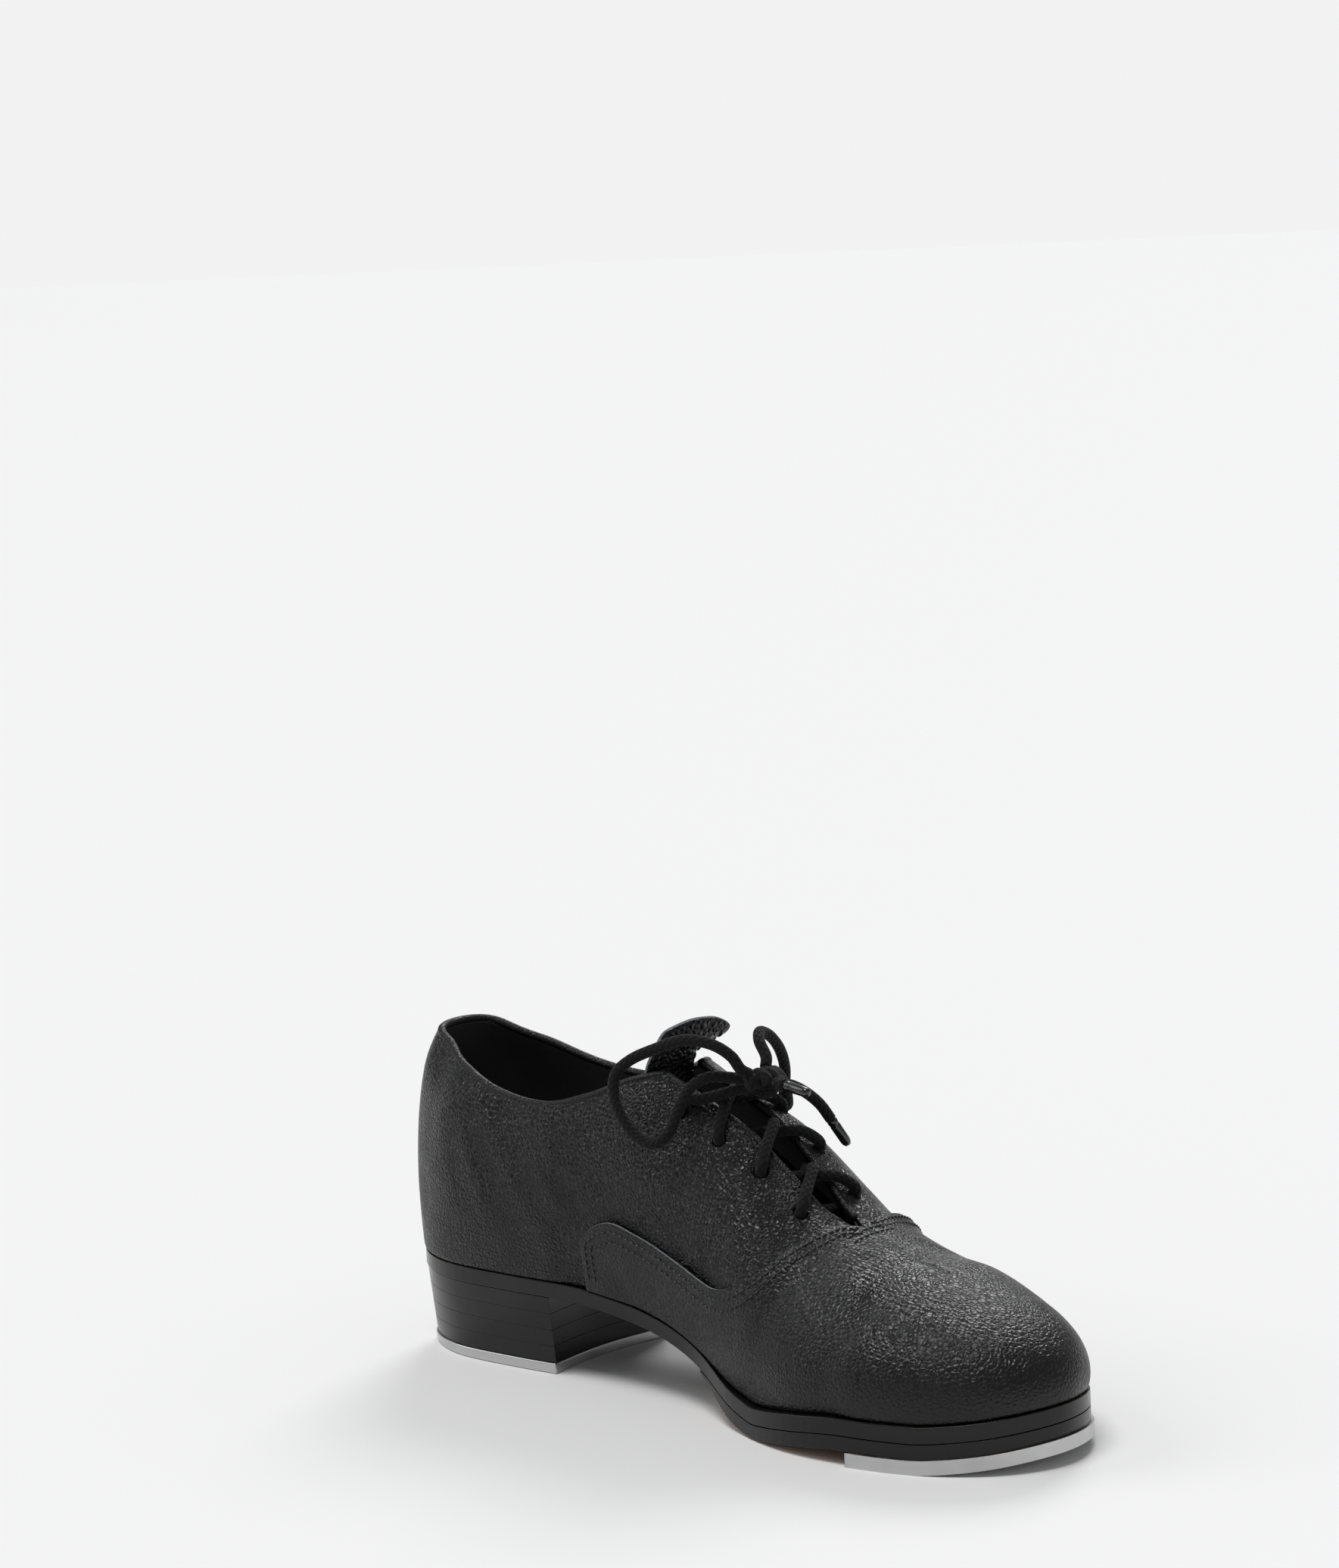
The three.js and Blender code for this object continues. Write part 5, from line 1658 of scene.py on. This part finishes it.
    def lift(self, x: float) -> float:
        """How far the toe turns up."""
        return max(0.0, self.last.sole_top(x) - self.last.tap_seat)

    def soles(self) -> None:
        """The outsole, the half sole and the sock."""
        n = self.last
        obj = self.slab("outsole_leather", self.ring(self.edge), n.sole_top, lambda x: n.outsole,
                        [self.looks.edge], 0.9)
        report(obj, ["outsole"])

        def lower(x: float) -> float:
            return n.sole_top(x) - n.outsole - 0.2

        def taper(x: float) -> float:
            return max(0.8, n.half_sole * ease((x / n.length - 0.5) / 0.1))

        obj = self.slab("half_sole_leather", self.ring(self.edge, 0.52 * n.length), lower, taper,
                        [self.looks.edge, self.looks.sole], 0.55)
        report(obj, ["half_sole"])
        rise = sum(INSIDE_LAYERS)
        obj = self.slab("sock_leather", self.ring(lambda x: -3.0), lambda x: n.sole_top(x) + rise,
                        lambda x: 1.0, [self.looks.sock], 0.3)
        report(obj, ["sock_lining"])

    def make(self) -> None:
        """Builds the bottom."""
        self.soles()
        self.heel()
        self.toe()


# ---------------------------------------------------------------- room


@dataclass(frozen=True)
class Room:
    """A plain pale floor and soft studio light."""

    white: float = 0.865
    glow: float = 0.29

    def lamp(self, name: str, azimuth: float, height: float, spread: float, power: float) -> None:
        """One broad, far lamp turned to the shoe.

        Args:
            name: The lamp's name.
            azimuth: Where it stands round the shoe, in degrees from the toe.
            height: Its height angle in degrees.
            spread: Its apparent width in degrees.
            power: Its strength.
        """
        data = bpy.data.lights.new(name, "SUN")
        data.angle, data.energy = math.radians(spread), power
        lamp = bpy.data.objects.new(name, data)
        bpy.context.scene.collection.objects.link(lamp)
        a, h = math.radians(azimuth), math.radians(height)
        back = Vector((math.cos(a) * math.cos(h), math.sin(a) * math.cos(h), math.sin(h)))
        turn = back.to_track_quat("Z", "Y").to_matrix().to_4x4()
        lamp.matrix_world = Matrix.Translation(back * 2) @ turn

    def make(self) -> None:
        """Builds floor, world and lamps."""
        bm = bmesh.new()
        bmesh.ops.create_grid(bm, x_segments=1, y_segments=1, size=30.0)
        mesh = bpy.data.meshes.new("floor")
        bm.to_mesh(mesh)
        bm.free()
        material = Finish("floor_paper", (self.white, self.white, self.white), 0.9).make()
        mesh.materials.append(material)
        floor = bpy.data.objects.new("floor", mesh)
        bpy.context.scene.collection.objects.link(floor)
        world = bpy.data.worlds.new("studio")
        world.use_nodes = True
        tree = world.node_tree
        dim = tree.nodes["Background"]
        dim.inputs["Color"].default_value = (0.93, 0.935, 0.94, 1)
        dim.inputs["Strength"].default_value = self.glow
        pale = tree.nodes.new("ShaderNodeBackground")
        pale.inputs["Color"].default_value = (0.89, 0.89, 0.89, 1)
        seen = tree.nodes.new("ShaderNodeLightPath").outputs["Is Camera Ray"]
        mixed = tree.nodes.new("ShaderNodeMixShader")
        tree.links.new(seen, mixed.inputs[0])
        tree.links.new(dim.outputs[0], mixed.inputs[1])
        tree.links.new(pale.outputs[0], mixed.inputs[2])
        tree.links.new(mixed.outputs[0], tree.nodes["World Output"].inputs["Surface"])
        bpy.context.scene.world = world
        bpy.context.scene.view_settings.view_transform = "Standard"
        self.lamp("top_lamp", -100, 76, 26, 1.5)
        self.lamp("back_lamp", 118, 40, 24, 1.1)
        self.lamp("side_lamp", -150, 34, 34, 0.5)


def dress_frame(looks: Wardrobe) -> None:
    """Gives the CAD solids that stay their finishes."""
    kept = {
        "steel": ("heel_tap_screw", "toe_tap_screw", "heel_nail", "steel_shank"),
        "board": ("shank_board", "insole_board", "heel_counter", "toe_puff"),
        "cork": ("bottom_filler",),
    }
    for finish, names in kept.items():
        for node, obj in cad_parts.items():
            if node.startswith(names):
                obj.data.materials.clear()
                obj.data.materials.append(getattr(looks, finish))


def main() -> None:
    """Builds the shoe in order."""
    logging.basicConfig(level=logging.INFO, format="%(name)s %(message)s")
    View().make()
    last = Last()
    seams = Seams(last)
    looks = Wardrobe()
    lace = Lace(last, seams, looks)
    lace.make()
    Upper(last, seams, looks).make(lace.eyelets)
    Tongue(looks).make()
    Bottom(last, looks).make()
    dress_frame(looks)
    Room().make()


if __name__ == "__main__":
    main()
